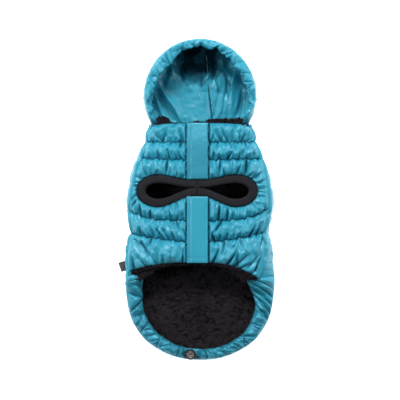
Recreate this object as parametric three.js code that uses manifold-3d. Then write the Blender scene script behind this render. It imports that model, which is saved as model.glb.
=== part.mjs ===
// A quilted winter coat for a small dog, laid on its back with the belly side up and the hood open.
// Millimetres. +Y runs from the hem to the hood, +X to the coat's right in this view, +Z up from the surface.
// The origin is on the surface, under the middle of the whole coat.

import * as THREE from "three";
import { mergeVertices } from "three/addons/utils/BufferGeometryUtils.js";
import Module from "manifold-3d";

const wasm = await Module();
wasm.setup();

// Driving sizes
const SEAM_GAP = 0.3; // clear space between two pieces at a seam
const FACET_EASE = 0.12; // added where two curved pieces are cut into different facets
const SHELL = 3; // outer cloth with its wadding, before it puffs
const HOOD_CLOTH = 2; // two layers of unlined cloth
const FLEECE = 3; // pile lining of the belly
const BACK_FLEECE = 5; // deeper pile lining of the back
const NECK_Y = 104; // neck seam, between the body and the hood
const REAR_Y = -227; // furthest point of the hem
const SIDE_Z = 22; // height at which the filled body is widest
const REAR_SIDE_Z = 14; // the same at the hem
const CORNER = 24; // how far the rounded side reaches in along the floor
const CLOSING_X = -2; // line where the two fronts meet under the flap
const PUFF = 7.5; // how far a quilted row stands out
const PUFF_RADIUS = 10; // distance from a seam at which a row is full
const FLAP = { left: -18.4, right: 11.2, relief: 2, thick: 2.2 };

// Half width of the body, seen from above.
const OUTLINE = [
  { at: 104, half: 70 },
  { at: 95, half: 75 },
  { at: 82, half: 78.6 },
  { at: 68, half: 85 },
  { at: 54, half: 92 },
  { at: 40, half: 97 },
  { at: 12, half: 103 },
  { at: -14, half: 104.4 },
  { at: -32, half: 101.5 },
  { at: -46, half: 98.4 },
  { at: -58, half: 101.6 },
  { at: -74, half: 104.5 },
  { at: -120, half: 105.2 },
  { at: -141, half: 103.3 },
  { at: -158, half: 100.5 },
  { at: -172, half: 95.6 },
  { at: -186, half: 87.5 },
  { at: -200, half: 76 },
  { at: -211, half: 60.5 },
  { at: -220, half: 42.5 },
  { at: -225.4, half: 24 },
];

// Height of the belly's middle before it puffs.
const CROWN = [
  { at: 106, height: 43 },
  { at: 80, height: 46 },
  { at: 20, height: 49 },
  { at: -50, height: 50 },
  { at: -115, height: 48 },
];

// How far in from the outline each side seam runs.
const SIDE_SEAM = [
  { at: 98, left: 4, right: 3 },
  { at: 80, left: 6, right: 4 },
  { at: 57, left: 9, right: 6.5 },
  { at: 20, left: 9, right: 8 },
  { at: -30, left: 6, right: 9 },
  { at: -57, left: 4.5, right: 12 },
  { at: -90, left: 5, right: 17 },
  { at: -102, left: 7, right: 21 },
  { at: -112, left: 5.5, right: 24 },
  { at: -122, left: 0.4, right: 12 },
  { at: -130, left: 0.4, right: 0.4 },
];

// Lines across the belly: the edges and the quilting seams, with the rows of faces up to the next line.
const ROWS = [
  { name: "neck", middle: 106, left: 98, right: 98, bow: 6, steps: 6, gathers: 6, slant: 0.9 },
  { name: "first", middle: 79, left: 79.5, right: 79.5, bow: 2, steps: 5, gathers: 9, slant: 0.25 },
  { name: "second", middle: 54.6, left: 57, right: 56, bow: 2, steps: 13, gathers: 9, slant: 0.3 },
  { name: "third", middle: -30, left: -17, right: -12, bow: 4, steps: 5, gathers: 9, slant: -0.2 },
  { name: "fourth", middle: -59.5, left: -48.4, right: -46.6, bow: 2, steps: 6, gathers: 8, slant: 0.7 },
  { name: "arch", middle: -88.2, left: -101.5, right: -112, bow: 2.4 },
];

// The two leg holes are one bow-tie cut in the shell. Each half is a lobe about its own centre.
const LEGS = {
  middle: -4,
  lobe: 54,
  reach: 84,
  waistY: 15.5,
  lobeY: 11.2,
  waistHalf: 11.5,
  lobeHalf: 22.4,
  band: 11.5,
  tip: 3,
};

// How far the belly's fleece shows past the arch.
const FLEECE_EDGE = [
  { at: -96, past: 13 },
  { at: -84, past: 13 },
  { at: -70, past: 12 },
  { at: -58, past: 5 },
  { at: -40, past: 1.5 },
  { at: 0, past: 1 },
  { at: 40, past: 2 },
  { at: 58, past: 7 },
  { at: 80, past: 9 },
];

// The upper edge of the neck's fleece, over the hood's foot.
const NECK_FLEECE = [
  { at: -65, edge: 107 },
  { at: -61, edge: 113 },
  { at: -55, edge: 116 },
  { at: -47, edge: 114.5 },
  { at: -42, edge: 109 },
  { at: -37, edge: 106.6 },
  { at: -12, edge: 106.6 },
  { at: -3, edge: 109 },
  { at: 5, edge: 107 },
  { at: 12, edge: 112 },
  { at: 30, edge: 112.5 },
  { at: 54, edge: 113.5 },
  { at: 61, edge: 111.5 },
  { at: 64, edge: 107 },
];

const HOOD = {
  centreY: 145.5,
  radius: 81,
  seamFoot: { x: 18, y: NECK_Y + SEAM_GAP },
  seamTop: { x: 11, y: 165 },
  seamAngle: 84,
  sideZ: 22,
  corner: 26,
  footZ: 33,
  riseZ: 15,
  lean: 3,
};

// The largest folds on the hood's inside, each a soft ridge (or a trough, where high is negative).
const HOOD_FOLDS = [
  { fromX: -52, fromY: 160, toX: -29, toY: 108, wide: 5, high: -1 },
  { fromX: -60, fromY: 155, toX: -41, toY: 110, wide: 5, high: 4 },
  { fromX: -42, fromY: 156, toX: -20, toY: 112, wide: 6, high: 4.5 },
  { fromX: -14, fromY: 168, toX: -22, toY: 150, wide: 6, high: 3 },
  { fromX: 8, fromY: 172, toX: 3, toY: 150, wide: 4, high: 4 },
  { fromX: 30, fromY: 150, toX: 26, toY: 114, wide: 4, high: 4 },
  { fromX: 40, fromY: 168, toX: 44, toY: 114, wide: 5, high: 4.5 },
  { fromX: 58, fromY: 150, toX: 55, toY: 116, wide: 4, high: 4 },
  { fromX: -12, fromY: 118, toX: -2, toY: 108, wide: 4, high: 3 },
];

const HEM = {
  startLeft: -124,
  startRight: -135,
  thick: 3,
  gathers: 36,
  ripple: 1.2,
  stepsEach: 4,
  rise: 10,
  lockDip: 6.5,
  dipWidth: 11,
};

// Width of the gathered hem, by the share of the way from its left end to its right end.
const HEM_WIDTH = [
  { at: 0, width: 25 },
  { at: 0.12, width: 21.5 },
  { at: 0.3, width: 19 },
  { at: 0.48, width: 16 },
  { at: 0.6, width: 16 },
  { at: 0.75, width: 19 },
  { at: 0.9, width: 26 },
  { at: 1, width: 34 },
];

const RIM = { width: 11, thick: 2, gathers: 25, ripple: 1.3, stepsEach: 4, rise: 7 };

const LABEL = { alongY: -92.5, long: 13.6, out: 11, droop: 4.5, thick: 1, turn: 19 };

const LOCK = { x: -13.3, y: -218.4, z: 23.1, radius: 7.4, high: 6.4, badge: 5.4, badgeHigh: 0.8, cord: 2.6 };

const COLOUR = { shell: 0x4ba3c3, fleece: 0x1a171c, rib: 0x1d1c22, ribbon: 0x2b2e33, lock: 0x17171a, badge: 0x5c5458 };

// Small maths

const mix = (a, b, t) => a + (b - a) * t;
const clamp = (v, low = 0, high = 1) => Math.min(high, Math.max(low, v));
const smooth = (t) => clamp(t) ** 2 * (3 - 2 * clamp(t));
const radians = (degrees) => (degrees * Math.PI) / 180;
const range = (n) => Array.from({ length: n + 1 }, (_, i) => i / n);

// A column of a table at a place between its rows, on a smooth curve through them.
function read(table, column, at) {
  const up = table[0].at < table[table.length - 1].at ? table : [...table].reverse();
  if (at <= up[0].at) return up[0][column];
  const last = up.length - 1;
  if (at >= up[last].at) return up[last][column];
  const k = up.findIndex((row) => row.at > at) - 1;
  const slope = (i) => {
    const before = up[Math.max(i - 1, 0)];
    const after = up[Math.min(i + 1, last)];
    return (after[column] - before[column]) / (after.at - before.at);
  };
  const span = up[k + 1].at - up[k].at;
  const t = (at - up[k].at) / span;
  const bend = (1 - t) ** 2 * t * span * slope(k) - t ** 2 * (1 - t) * span * slope(k + 1);
  return mix(up[k][column], up[k + 1][column], smooth(t)) + bend;
}

// Closed bodies from rows of points

function bodyOf(triangles) {
  const kept = triangles.filter(([a, b, c]) => {
    const near = (p, q) => p.distanceTo(q) < 2e-3;
    return !near(a, b) && !near(b, c) && !near(c, a);
  });
  const volume = kept.reduce((sum, [a, b, c]) => sum + a.dot(b.clone().cross(c)), 0);
  const facing = volume < 0 ? kept.map(([a, b, c]) => [a, c, b]) : kept;
  const numbers = facing.flat().flatMap((p) => [p.x, p.y, p.z]);
  const loose = new THREE.BufferGeometry();
  loose.setAttribute("position", new THREE.Float32BufferAttribute(numbers, 3));
  const geometry = mergeVertices(loose, 2e-3);
  geometry.computeVertexNormals();
  return geometry;
}

function skin(rows) {
  return rows.slice(1).flatMap((row, i) =>
    row.slice(1).flatMap((p, j) => [
      [rows[i][j], rows[i][j + 1], p],
      [rows[i][j], p, row[j]],
    ]),
  );
}

const turned = (triangles) => triangles.map(([a, b, c]) => [a, c, b]);

// Triangles between two lines of points that start and end together but have different counts.
function zip(a, b) {
  const out = [];
  let i = 0;
  let j = 0;
  while (i < a.length - 1 || j < b.length - 1) {
    const stepA = j === b.length - 1 || (i < a.length - 1 && (i + 1) / (a.length - 1) <= (j + 1) / (b.length - 1));
    if (stepA) out.push([a[i], b[j], a[++i]]);
    else out.push([a[i], b[j], b[++j]]);
  }
  return out;
}

// A wall between an outer and an inner grid. openSide is false where the first column folds onto itself.
function wall(outer, inner, openSide = true) {
  const edge = (grid) => ({
    first: grid[0],
    last: grid[grid.length - 1],
    start: grid.map((row) => row[0]),
    end: grid.map((row) => row[row.length - 1]),
  });
  const o = edge(outer);
  const n = edge(inner);
  return bodyOf([
    ...skin(outer),
    ...turned(skin(inner)),
    ...zip(o.first, n.first),
    ...turned(zip(o.last, n.last)),
    ...(openSide ? turned(zip(o.start, n.start)) : []),
    ...zip(o.end, n.end),
  ]);
}

// A body through closed sections, either capped at its ends or running round to its start.
function loft(sections, closed = false) {
  const loops = sections.map((loop) => [...loop, loop[0]]);
  if (closed) return bodyOf(skin([...loops, loops[0]]));
  const cap = (loop) => loop.slice(1, -1).map((p, i) => [loop[0], p, loop[i + 2]]);
  const ends = [sections[0], sections[sections.length - 1]].map(cap);
  return bodyOf([...skin(loops), ...turned(ends[0]), ...ends[1]]);
}

// The body's base surface

const halfWidth = (y) => read(OUTLINE, "half", y);
const crown = (y) => read(CROWN, "height", y);
const seamInset = (y, side) => Math.max(0.4, read(SIDE_SEAM, side < 0 ? "left" : "right", y));

// The belly is a superellipse across, from the widest line up to the crown.
function baseZ(x, y) {
  const q = clamp(Math.abs(x) / halfWidth(y), 0, 0.9999);
  return SIDE_Z + (crown(y) - SIDE_Z) * Math.sqrt(1 - q ** 3);
}

// A point on the base surface, moved along the surface's normal by lift.
function onBelly(x, y, lift) {
  const h = 0.5;
  const slopeX = (baseZ(x + h, y) - baseZ(x - h, y)) / (2 * h);
  const slopeY = (baseZ(x, y + h) - baseZ(x, y - h)) / (2 * h);
  const normal = new THREE.Vector3(-slopeX, -slopeY, 1).normalize();
  return new THREE.Vector3(x, y, baseZ(x, y)).addScaledVector(normal, lift);
}

// The outline from the left neck corner round the hem to the right neck corner, and the line it closes in on.
const OUTLINE_END = OUTLINE[OUTLINE.length - 1].at;
const sidePoints = range(80).map((u) => {
  const y = mix(NECK_Y, OUTLINE_END, u);
  return new THREE.Vector3(-halfWidth(y), y, 0);
});
const rearPoint = new THREE.Vector3(0, REAR_Y, 0);
const otherSide = [...sidePoints].reverse().map((p) => new THREE.Vector3(-p.x, p.y, 0));
const outline = new THREE.CatmullRomCurve3([...sidePoints, rearPoint, ...otherSide], false, "centripetal");
outline.arcLengthDivisions = 2000;

const FAN_Y = -110; // below this the sections turn round the hem
const FAN_REACH = 40;

function spine(point) {
  if (point.y >= FAN_Y) return new THREE.Vector3(0, point.y, 0);
  const share = (FAN_Y - point.y) / (FAN_Y - REAR_Y);
  return new THREE.Vector3(0, FAN_Y - FAN_REACH * share, 0);
}

// A station of the body's tray: its place on the outline and the way in.
function bodyStation(t) {
  const foot = outline.getPointAt(Math.min(t, 1 - t));
  if (t > 0.5) foot.x = -foot.x;
  if (t === 0.5) foot.x = 0;
  const middle = spine(foot);
  const inward = middle.clone().sub(foot);
  const wide = inward.length();
  inward.normalize();
  const side = foot.x < 0 || t < 0.5 ? -1 : 1;
  const rear = smooth((FAN_Y - foot.y) / 34);
  const sideZ = mix(SIDE_Z, REAR_SIDE_Z, rear);
  const at = (d, z) => foot.clone().addScaledVector(inward, d).setZ(z);
  return { foot, wide, side, sideZ, at, y: foot.y };
}

// The body's tray across one station, as distances in from the outline and heights, from the floor's middle to the seam.
function bodySection(station, steps) {
  const { wide, side, sideZ, y } = station;
  const inset = seamInset(y, side);
  const rise = crown(y) - sideZ;
  const floor = range(steps.floor).map((u) => [mix(wide, CORNER, u), 0]);
  const corner = range(steps.corner).map((u) => {
    const a = (u * Math.PI) / 2;
    return [CORNER * (1 - Math.sin(a)), sideZ * (1 - Math.cos(a))];
  });
  const shoulder = range(steps.shoulder).map((u) => {
    const d = inset * u * u;
    return [d, sideZ + rise * Math.sqrt(1 - (1 - d / wide) ** 3)];
  });
  return [...floor, ...corner.slice(1), ...shoulder.slice(1)];
}

// The same section moved inwards by depth, square to itself. tail is the way it was going at its end.
function inset(section, depth, tail) {
  return section.map(([d, z], i) => {
    const last = i === section.length - 1;
    const before = section[Math.max(i - 1, 0)];
    const after = section[Math.min(i + 1, section.length - 1)];
    const along = new THREE.Vector2(after[0] - before[0], after[1] - before[1]);
    if (last && tail) along.set(...tail);
    along.normalize();
    return [d + along.y * depth, z - along.x * depth];
  });
}

function tray(stationOf, sectionOf, depth, places, steps, tailOf = () => null) {
  return places.map((t) => {
    const station = stationOf(t);
    const section = sectionOf(station, steps);
    const moved = depth ? inset(section, depth, tailOf(station, section)) : section;
    return moved.map(([d, z]) => station.at(Math.min(d, station.wide), z));
  });
}

// The way the belly's surface runs in over a station, where its section ends.
function shoulderWay({ wide, y, sideZ }, section) {
  const q = 1 - section[section.length - 1][0] / wide;
  return [1, ((crown(y) - sideZ) * 1.5 * q ** 2) / (wide * Math.sqrt(1 - q ** 3))];
}

// How far round the outline its left side passes a height y, as a share of the whole.
function placeAt(y) {
  let low = 0;
  let high = 0.5;
  while (high - low > 1e-6) {
    const middle = (low + high) / 2;
    if (outline.getPointAt(middle).y > y) low = middle;
    else high = middle;
  }
  return low;
}

// Places round the outline, closer together round the hem than along the sides.
function bodyPlaces(sideSteps, rearSteps) {
  const turn = placeAt(-106);
  const left = [...range(sideSteps).map((u) => turn * u), ...range(rearSteps).map((u) => mix(turn, 0.5, u)).slice(1)];
  return [...left, ...left.slice(0, -1).reverse().map((t) => 1 - t)];
}

const FINE = { floor: 2, corner: 4, shoulder: 2 };
const PLAIN = { floor: 1, corner: 3, shoulder: 1 };

function backPanel() {
  const outer = tray(bodyStation, bodySection, 0, bodyPlaces(24, 30), FINE);
  const inner = tray(bodyStation, bodySection, SHELL, bodyPlaces(12, 12), PLAIN, shoulderWay);
  return wall(outer, inner, false);
}

// The lining stops short of the side seam, so that the belly's own lining clears it.
function backLining() {
  const depth = SHELL + SEAM_GAP + FACET_EASE;
  const layer = (in_) =>
    tray(bodyStation, bodySection, in_, bodyPlaces(12, 12), PLAIN, shoulderWay).map((row) => row.slice(0, -PLAIN.shoulder));
  return wall(layer(depth), layer(depth + BACK_FLEECE), false);
}

// The leg holes' outline

function lobeAt(u, inset) {
  const { lobe, reach, waistY, lobeY, waistHalf, lobeHalf, tip } = LEGS;
  const middle = mix(waistY, lobeY, smooth(u / lobe));
  const start = inset > 0 ? tip : 8;
  const full = lobeHalf - inset;
  const round = Math.sqrt(clamp(1 - ((u - lobe) / (reach - inset - lobe)) ** 2));
  const half = u < lobe ? mix(waistHalf - inset, full, smooth((u - start) / (lobe - start))) : full * round;
  return { middle, half };
}

// The outline of one lobe as points, from the waist along the top, round the end and back along the bottom.
function lobeLoop(side, inset, steps) {
  const start = inset > 0 ? LEGS.tip : SEAM_GAP / 2;
  const end = LEGS.reach - inset;
  return range(steps).map((v) => {
    const turn = v * 2 * Math.PI;
    const u = mix(start, end, (1 - Math.cos(turn)) / 2);
    const { middle, half } = lobeAt(u, inset);
    const y = v <= 0.5 ? middle + half : middle - half;
    return new THREE.Vector2(LEGS.middle + side * u, y);
  });
}

const HOLE_EASE = SEAM_GAP + FACET_EASE;
const LOBE_STEPS = 36;
const holeOutline = [
  ...lobeLoop(-1, -HOLE_EASE, LOBE_STEPS).slice(0, -1),
  ...lobeLoop(1, -HOLE_EASE, LOBE_STEPS).slice(1).reverse(),
];

// How far a point of the belly is from the cut edge of the leg holes.
function fromLegHole(x, y) {
  const here = new THREE.Vector2(x, y);
  return Math.min(
    ...holeOutline.map((a, i) => {
      const b = holeOutline[(i + 1) % holeOutline.length];
      const along = b.clone().sub(a);
      const t = clamp(here.clone().sub(a).dot(along) / Math.max(along.lengthSq(), 1e-9));
      return here.distanceTo(a.clone().addScaledVector(along, t));
    }),
  );
}

// The fronts

// A place on the belly: side is -1 or 1, row and u say how far between two lines, s how far out to the side seam.
function bellyPlace(side, row, u, s, edge = SEAM_GAP / 2) {
  const a = ROWS[row];
  const b = ROWS[row + 1];
  const column = side < 0 ? "left" : "right";
  const middleY = mix(a.middle, b.middle, u);
  const sideY = mix(a[column], b[column], u);
  const bow = mix(a.bow, b.bow, u);
  const outX = side * (halfWidth(sideY) - seamInset(sideY, side) - edge);
  const x = mix(CLOSING_X + side * edge, outX, s);
  return { x, y: middleY + (sideY - middleY) * s ** bow };
}

const roundUp = (distance, radius) => Math.sqrt(1 - (1 - clamp(distance / radius)) ** 2);

// The quilting's relief: full away from every seam, falling in a quarter round to each, with gathers that fade from the seams.
function frontRelief(side, row, u, s) {
  const { x, y } = bellyPlace(side, row, u, s);
  const a = bellyPlace(side, row, 0, s);
  const b = bellyPlace(side, row, 1, s);
  const seam = bellyPlace(side, row, u, 1);
  const toRow = Math.min(a.y - y, y - b.y);
  const toHole = fromLegHole(x, y);
  const toSide = Math.abs(seam.x - x);
  const toFlap = (side < 0 ? FLAP.left - x : x - FLAP.right) - 0.8;
  const fullness = Math.min(toRow, toHole, toSide);
  const puffed = PUFF * roundUp(Math.max(fullness, 0), PUFF_RADIUS);
  const { gathers, slant } = ROWS[row];
  const turn = gathers * s + (slant * (y - b.y)) / 30;
  const fade = Math.exp(-fullness / 7) * roundUp(fullness, 5);
  const gather = 1.6 * Math.cos(turn * 2 * Math.PI) * fade;
  const open = smooth(toFlap / 9);
  return mix(FLAP.relief, Math.max(puffed + gather, 0.2), open);
}

function frontGrid(side, columns, liftOf, rowSteps, edge = SEAM_GAP + 3 * FACET_EASE) {
  const rows = ROWS.slice(0, -1).flatMap((row, r) => {
    const n = rowSteps(row);
    return range(n)
      .slice(r ? 1 : 0)
      .map((u) => [r, mix(u, (1 - Math.cos(u * Math.PI)) / 2, 0.6)]);
  });
  return rows.map(([r, u]) =>
    range(columns).map((s) => {
      const { x, y } = bellyPlace(side, r, u, s, edge);
      return onBelly(x, y, liftOf(side, r, u, s));
    }),
  );
}

// Booleans

function solidOf(geometry) {
  const bare = new THREE.BufferGeometry().setAttribute("position", geometry.getAttribute("position"));
  bare.setIndex(geometry.index);
  const merged = mergeVertices(bare, 1e-3);
  const mesh = new wasm.Mesh({
    numProp: 3,
    vertProperties: merged.attributes.position.array,
    triVerts: new Uint32Array(merged.index.array),
  });
  return new wasm.Manifold(mesh);
}

function geometryOf(solid) {
  const { vertProperties, triVerts, numProp, numVert } = solid.getMesh();
  const positions = new Float32Array(numVert * 3);
  for (let i = 0; i < numVert; i++) {
    positions.set(vertProperties.subarray(i * numProp, i * numProp + 3), i * 3);
  }
  const geometry = new THREE.BufferGeometry();
  geometry.setAttribute("position", new THREE.BufferAttribute(positions, 3));
  geometry.setIndex(new THREE.BufferAttribute(triVerts, 1));
  geometry.computeVertexNormals();
  return geometry;
}

function prism(points, low, high) {
  const shape = new THREE.Shape(points);
  const made = new THREE.ExtrudeGeometry(shape, { depth: high - low, bevelEnabled: false, steps: 1 });
  made.translate(0, 0, low);
  made.deleteAttribute("normal");
  made.deleteAttribute("uv");
  return mergeVertices(made, 1e-3);
}

const legCut = solidOf(prism(holeOutline, 10, 80));
const withLegHoles = (geometry) => geometryOf(solidOf(geometry).subtract(legCut));

function front(side) {
  const outer = frontGrid(side, 26, frontRelief, (row) => row.steps);
  return withLegHoles(wall(outer, plainGrid(side, -SHELL)));
}

function plainGrid(side, lift) {
  const ease = SEAM_GAP + 10 * FACET_EASE;
  return frontGrid(side, 8, () => lift, (row) => Math.ceil(row.steps / 4), ease);
}

// The fleece under a front, which shows past the arch and through the openings.
function bellyLining(side) {
  const sheet = (lift) => {
    const rows = plainGrid(side, lift);
    const arch = rows[rows.length - 1];
    const showing = arch.map((p) => {
      const past = read(FLEECE_EDGE, "past", p.x);
      return onBelly(p.x, p.y - past, lift).setX(p.x);
    });
    rows[0] = rows[0].map((p, j) => p.clone().lerp(rows[1][j], 0.15));
    rows.push(showing);
    return rows.map((points) => {
      const last = points.length - 1;
      return [...points.slice(0, last), points[last].clone().lerp(points[last - 1], 0.12)];
    });
  };
  const top = -SHELL - SEAM_GAP - FACET_EASE;
  return withLegHoles(wall(sheet(top), sheet(top - FLEECE)));
}

// A rib band round one leg hole: a rounded section carried along the lobe's edge.
function legBinding(side) {
  const outer = lobeLoop(side, 0, LOBE_STEPS);
  const inner = lobeLoop(side, LEGS.band, LOBE_STEPS);
  const bulge = [0, 2.2, 2.9, 2.2, 0.2];
  return loft(
    outer.map((o, i) => {
      const place = (k, lift) => {
        const p = o.clone().lerp(inner[i], k);
        return onBelly(p.x, p.y, lift);
      };
      const top = bulge.map((lift, k) => place(k / (bulge.length - 1), lift));
      return [...top, place(1, -2.4), place(0, -2.4)];
    }),
    true,
  );
}

// A flap of the placket, between two heights along the body.
function flap(fromY, toY) {
  const sheet = (lift, rows, columns) =>
    range(rows).map((u) =>
      range(columns).map((s) => onBelly(mix(FLAP.left, FLAP.right, s), mix(fromY, toY, u), lift)),
    );
  const low = FLAP.relief + SEAM_GAP + 2 * FACET_EASE;
  return wall(sheet(low + FLAP.thick, 10, 4), sheet(low, 10, 4));
}

// A gathered, turned-in edge: a half-round wall that stands on a tray's top and closes in over it.
function lip(stations, sizesAt) {
  const arc = range(5).map((u) => radians(mix(0, 162, u)));
  return loft(
    stations.map((station, i) => {
      const share = i / (stations.length - 1);
      const { d, z, width, rise, thick, ripple } = sizesAt(station, share);
      const round = (a, less, bump) => {
        const reach = (width / 2 - less + bump * Math.sin(a)) * Math.cos(a);
        return station.at(d + width / 2 - reach, z + (rise - less + bump) * Math.sin(a));
      };
      const over = arc.map((a) => round(a, 0, ripple));
      const under = [...arc].reverse().filter((_, k) => k % 2 === 0).map((a) => round(a, thick, 0));
      return [...over, ...under];
    }),
  );
}

function hem() {
  const from = placeAt(HEM.startLeft);
  const to = 1 - placeAt(HEM.startRight);
  const stations = range(HEM.gathers * HEM.stepsEach).map((u) => bodyStation(mix(from, to, u)));
  return lip(stations, (station, share) => {
    const section = bodySection(station, FINE);
    const [d, z] = section[section.length - 1];
    const toLock = Math.hypot(station.foot.x - LOCK.x, Math.max(station.y - REAR_Y - 20, 0));
    const dip = HEM.lockDip * (1 - smooth((toLock - 8) / HEM.dipWidth));
    const ends = smooth(share * 14) * smooth((1 - share) * 14);
    const wave = Math.cos(share * HEM.gathers * 2 * Math.PI) + 0.4 * Math.cos(share * 17 * Math.PI + 1);
    return {
      d,
      z: z + SEAM_GAP + FACET_EASE * (2.5 + 14 * (1 - ends)),
      width: read(HEM_WIDTH, "width", share),
      rise: HEM.rise - dip,
      thick: HEM.thick,
      ripple: (HEM.ripple * wave * ends * (HEM.rise - dip)) / HEM.rise,
    };
  });
}

// The hood

function hoodAngle(t) {
  const end = Math.asin((NECK_Y + SEAM_GAP - HOOD.centreY) / HOOD.radius);
  return mix(Math.PI - end, end, t);
}

const hoodTop = (() => {
  const end = hoodAngle(1);
  return (Math.PI - end - radians(HOOD.seamAngle)) / (Math.PI - 2 * end);
})();

function hoodStation(t) {
  const angle = hoodAngle(t);
  const foot = new THREE.Vector3(HOOD.radius * Math.cos(angle), HOOD.centreY + HOOD.radius * Math.sin(angle), 0);
  const share = t < hoodTop ? t / hoodTop : (1 - t) / (1 - hoodTop);
  const side = t < hoodTop ? -1 : 1;
  const { seamFoot, seamTop } = HOOD;
  const middle = new THREE.Vector3(
    mix(seamFoot.x, seamTop.x, share) + (side * SEAM_GAP) / 2,
    mix(seamFoot.y, seamTop.y, share),
    0,
  );
  const inward = middle.clone().sub(foot);
  const wide = inward.length();
  inward.normalize();
  const topZ = HOOD.footZ + HOOD.riseZ * Math.sin(Math.PI * t) ** 0.8;
  const at = (d, z) => foot.clone().addScaledVector(inward, d).setZ(z);
  return { foot, wide, side, topZ, at, y: foot.y, t };
}

function hoodSection(station, steps) {
  const { wide, topZ } = station;
  const floor = range(steps.floor).map((u) => [mix(wide, HOOD.corner, u), 0]);
  const corner = range(steps.corner).map((u) => {
    const a = (u * Math.PI) / 2;
    return [HOOD.corner * (1 - Math.sin(a)), HOOD.sideZ * (1 - Math.cos(a))];
  });
  const shoulder = range(steps.shoulder).map((u) => [HOOD.lean * u * u, mix(HOOD.sideZ, topZ, u)]);
  return [...floor, ...corner.slice(1), ...shoulder.slice(1)];
}

function foldHeight(x, y) {
  return HOOD_FOLDS.reduce((sum, fold) => {
    const a = new THREE.Vector2(fold.fromX, fold.fromY);
    const along = new THREE.Vector2(fold.toX, fold.toY).sub(a);
    const here = new THREE.Vector2(x, y).sub(a);
    const t = clamp(here.dot(along) / along.lengthSq());
    const off = here.distanceTo(along.multiplyScalar(t)) / fold.wide;
    return sum + fold.high * Math.exp(-off * off) * Math.sin(Math.PI * clamp(0.15 + 0.85 * t)) ** 0.5;
  }, 0);
}

function hoodPanel(side) {
  const halfGap = SEAM_GAP / 2 / HOOD.radius / (hoodAngle(0) - hoodAngle(1));
  const [from, to] = side < 0 ? [0, hoodTop - halfGap] : [1, hoodTop + halfGap];
  const steps = { floor: 6, corner: 4, shoulder: 2 };
  const places = (n) => range(n).map((u) => mix(from, to, u));
  const under = tray(hoodStation, hoodSection, 0, places(14), PLAIN);
  const inside = tray(hoodStation, hoodSection, HOOD_CLOTH, places(24), steps);
  const folded = inside.map((row) =>
    row.map((p, j) => {
      const edge = j === 0 || j === row.length - 1 ? 0 : 1;
      return p.clone().setZ(p.z + edge * Math.max(foldHeight(p.x, p.y), -1));
    }),
  );
  return wall(under, folded);
}

function hoodRim() {
  const count = RIM.gathers * RIM.stepsEach;
  const stations = range(count).map((u) => hoodStation(mix(0.004, 0.996, u)));
  return lip(stations, (station, share) => {
    const section = hoodSection(station, FINE);
    const [d, z] = section[section.length - 1];
    const wave = Math.cos(share * RIM.gathers * 2 * Math.PI) + 0.5 * Math.cos(share * 11 * Math.PI);
    const ends = smooth(share * 16) * smooth((1 - share) * 16);
    return {
      d,
      z: z + SEAM_GAP,
      width: RIM.width,
      rise: RIM.rise,
      thick: RIM.thick,
      ripple: RIM.ripple * wave * ends,
    };
  });
}

// The fleece at the back of the neck, lying over the hood's foot.
function neckLining() {
  const low = HOOD_CLOTH + 5.6;
  const cornerZ = (d) => HOOD.sideZ * (1 - Math.sqrt(1 - clamp(1 - d / HOOD.corner) ** 2));
  const sheet = (z, round) =>
    range(22).map((u) => {
      const x = mix(-64, 63, u);
      const edge = read(NECK_FLEECE, "edge", x);
      return range(2).map((v) => {
        const y = mix(NECK_Y + SEAM_GAP, edge, v);
        return new THREE.Vector3(x, y, z + cornerZ(69.7 - Math.abs(x)) - round * v * v);
      });
    });
  return wall(sheet(low + FLEECE, 1.6), sheet(low, 0));
}

// Small pieces

// A folded ribbon sewn into the left side seam, hanging out over the side.
function labelTab() {
  const { alongY, long, out, droop, thick, turn } = LABEL;
  const seamX = -(halfWidth(alongY) - seamInset(alongY, -1)) - 1;
  const root = onBelly(seamX, alongY, 1.8);
  const outward = new THREE.Vector3(-Math.cos(radians(turn)), -Math.sin(radians(turn)), 0);
  const across = new THREE.Vector3(-outward.y, outward.x, 0);
  const section = (u) => {
    const middle = root.clone().addScaledVector(outward, out * u);
    middle.z -= droop * u * u;
    const corner = (v, z) => middle.clone().addScaledVector(across, v * long).add(new THREE.Vector3(0, 0, z));
    return [corner(-0.5, 0), corner(0.5, 0), corner(0.5, thick), corner(-0.5, thick)];
  };
  return loft(range(4).map(section));
}

function lockBody() {
  const { radius, high } = LOCK;
  const lip = 1.4;
  const profile = [
    [0, 0],
    [radius - lip, 0],
    [radius, lip],
    [radius, high - lip],
    [radius - lip, high],
    [0, high],
  ];
  return lathe(profile, 28);
}

function lockBadge() {
  const { badge, badgeHigh } = LOCK;
  const profile = [
    [0, 0],
    [badge, 0],
    [badge, badgeHigh * 0.6],
    [badge - 0.5, badgeHigh],
    [badge - 1.4, badgeHigh * 0.7],
    [0, badgeHigh * 0.7],
  ];
  return lathe(profile, 28);
}

function lathe(profile, around) {
  const points = profile.map(([r, z]) => new THREE.Vector2(r, z));
  const made = new THREE.LatheGeometry(points, around);
  made.rotateX(Math.PI / 2);
  made.deleteAttribute("normal");
  made.deleteAttribute("uv");
  return mergeVertices(made, 1e-3);
}

// A short stretch of the hem's cord, between the casing and the lock.
function cordStub(points) {
  const r = LOCK.cord / 2;
  const path = new THREE.CatmullRomCurve3(points.map(([x, y, z]) => new THREE.Vector3(x, y, z)));
  const round = new THREE.Shape().absarc(0, 0, r, 0, 2 * Math.PI);
  const made = new THREE.ExtrudeGeometry(round, { extrudePath: path, steps: 4, curveSegments: 8, bevelEnabled: false });
  made.deleteAttribute("normal");
  made.deleteAttribute("uv");
  return mergeVertices(made, 1e-3);
}

// The coat

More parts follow.
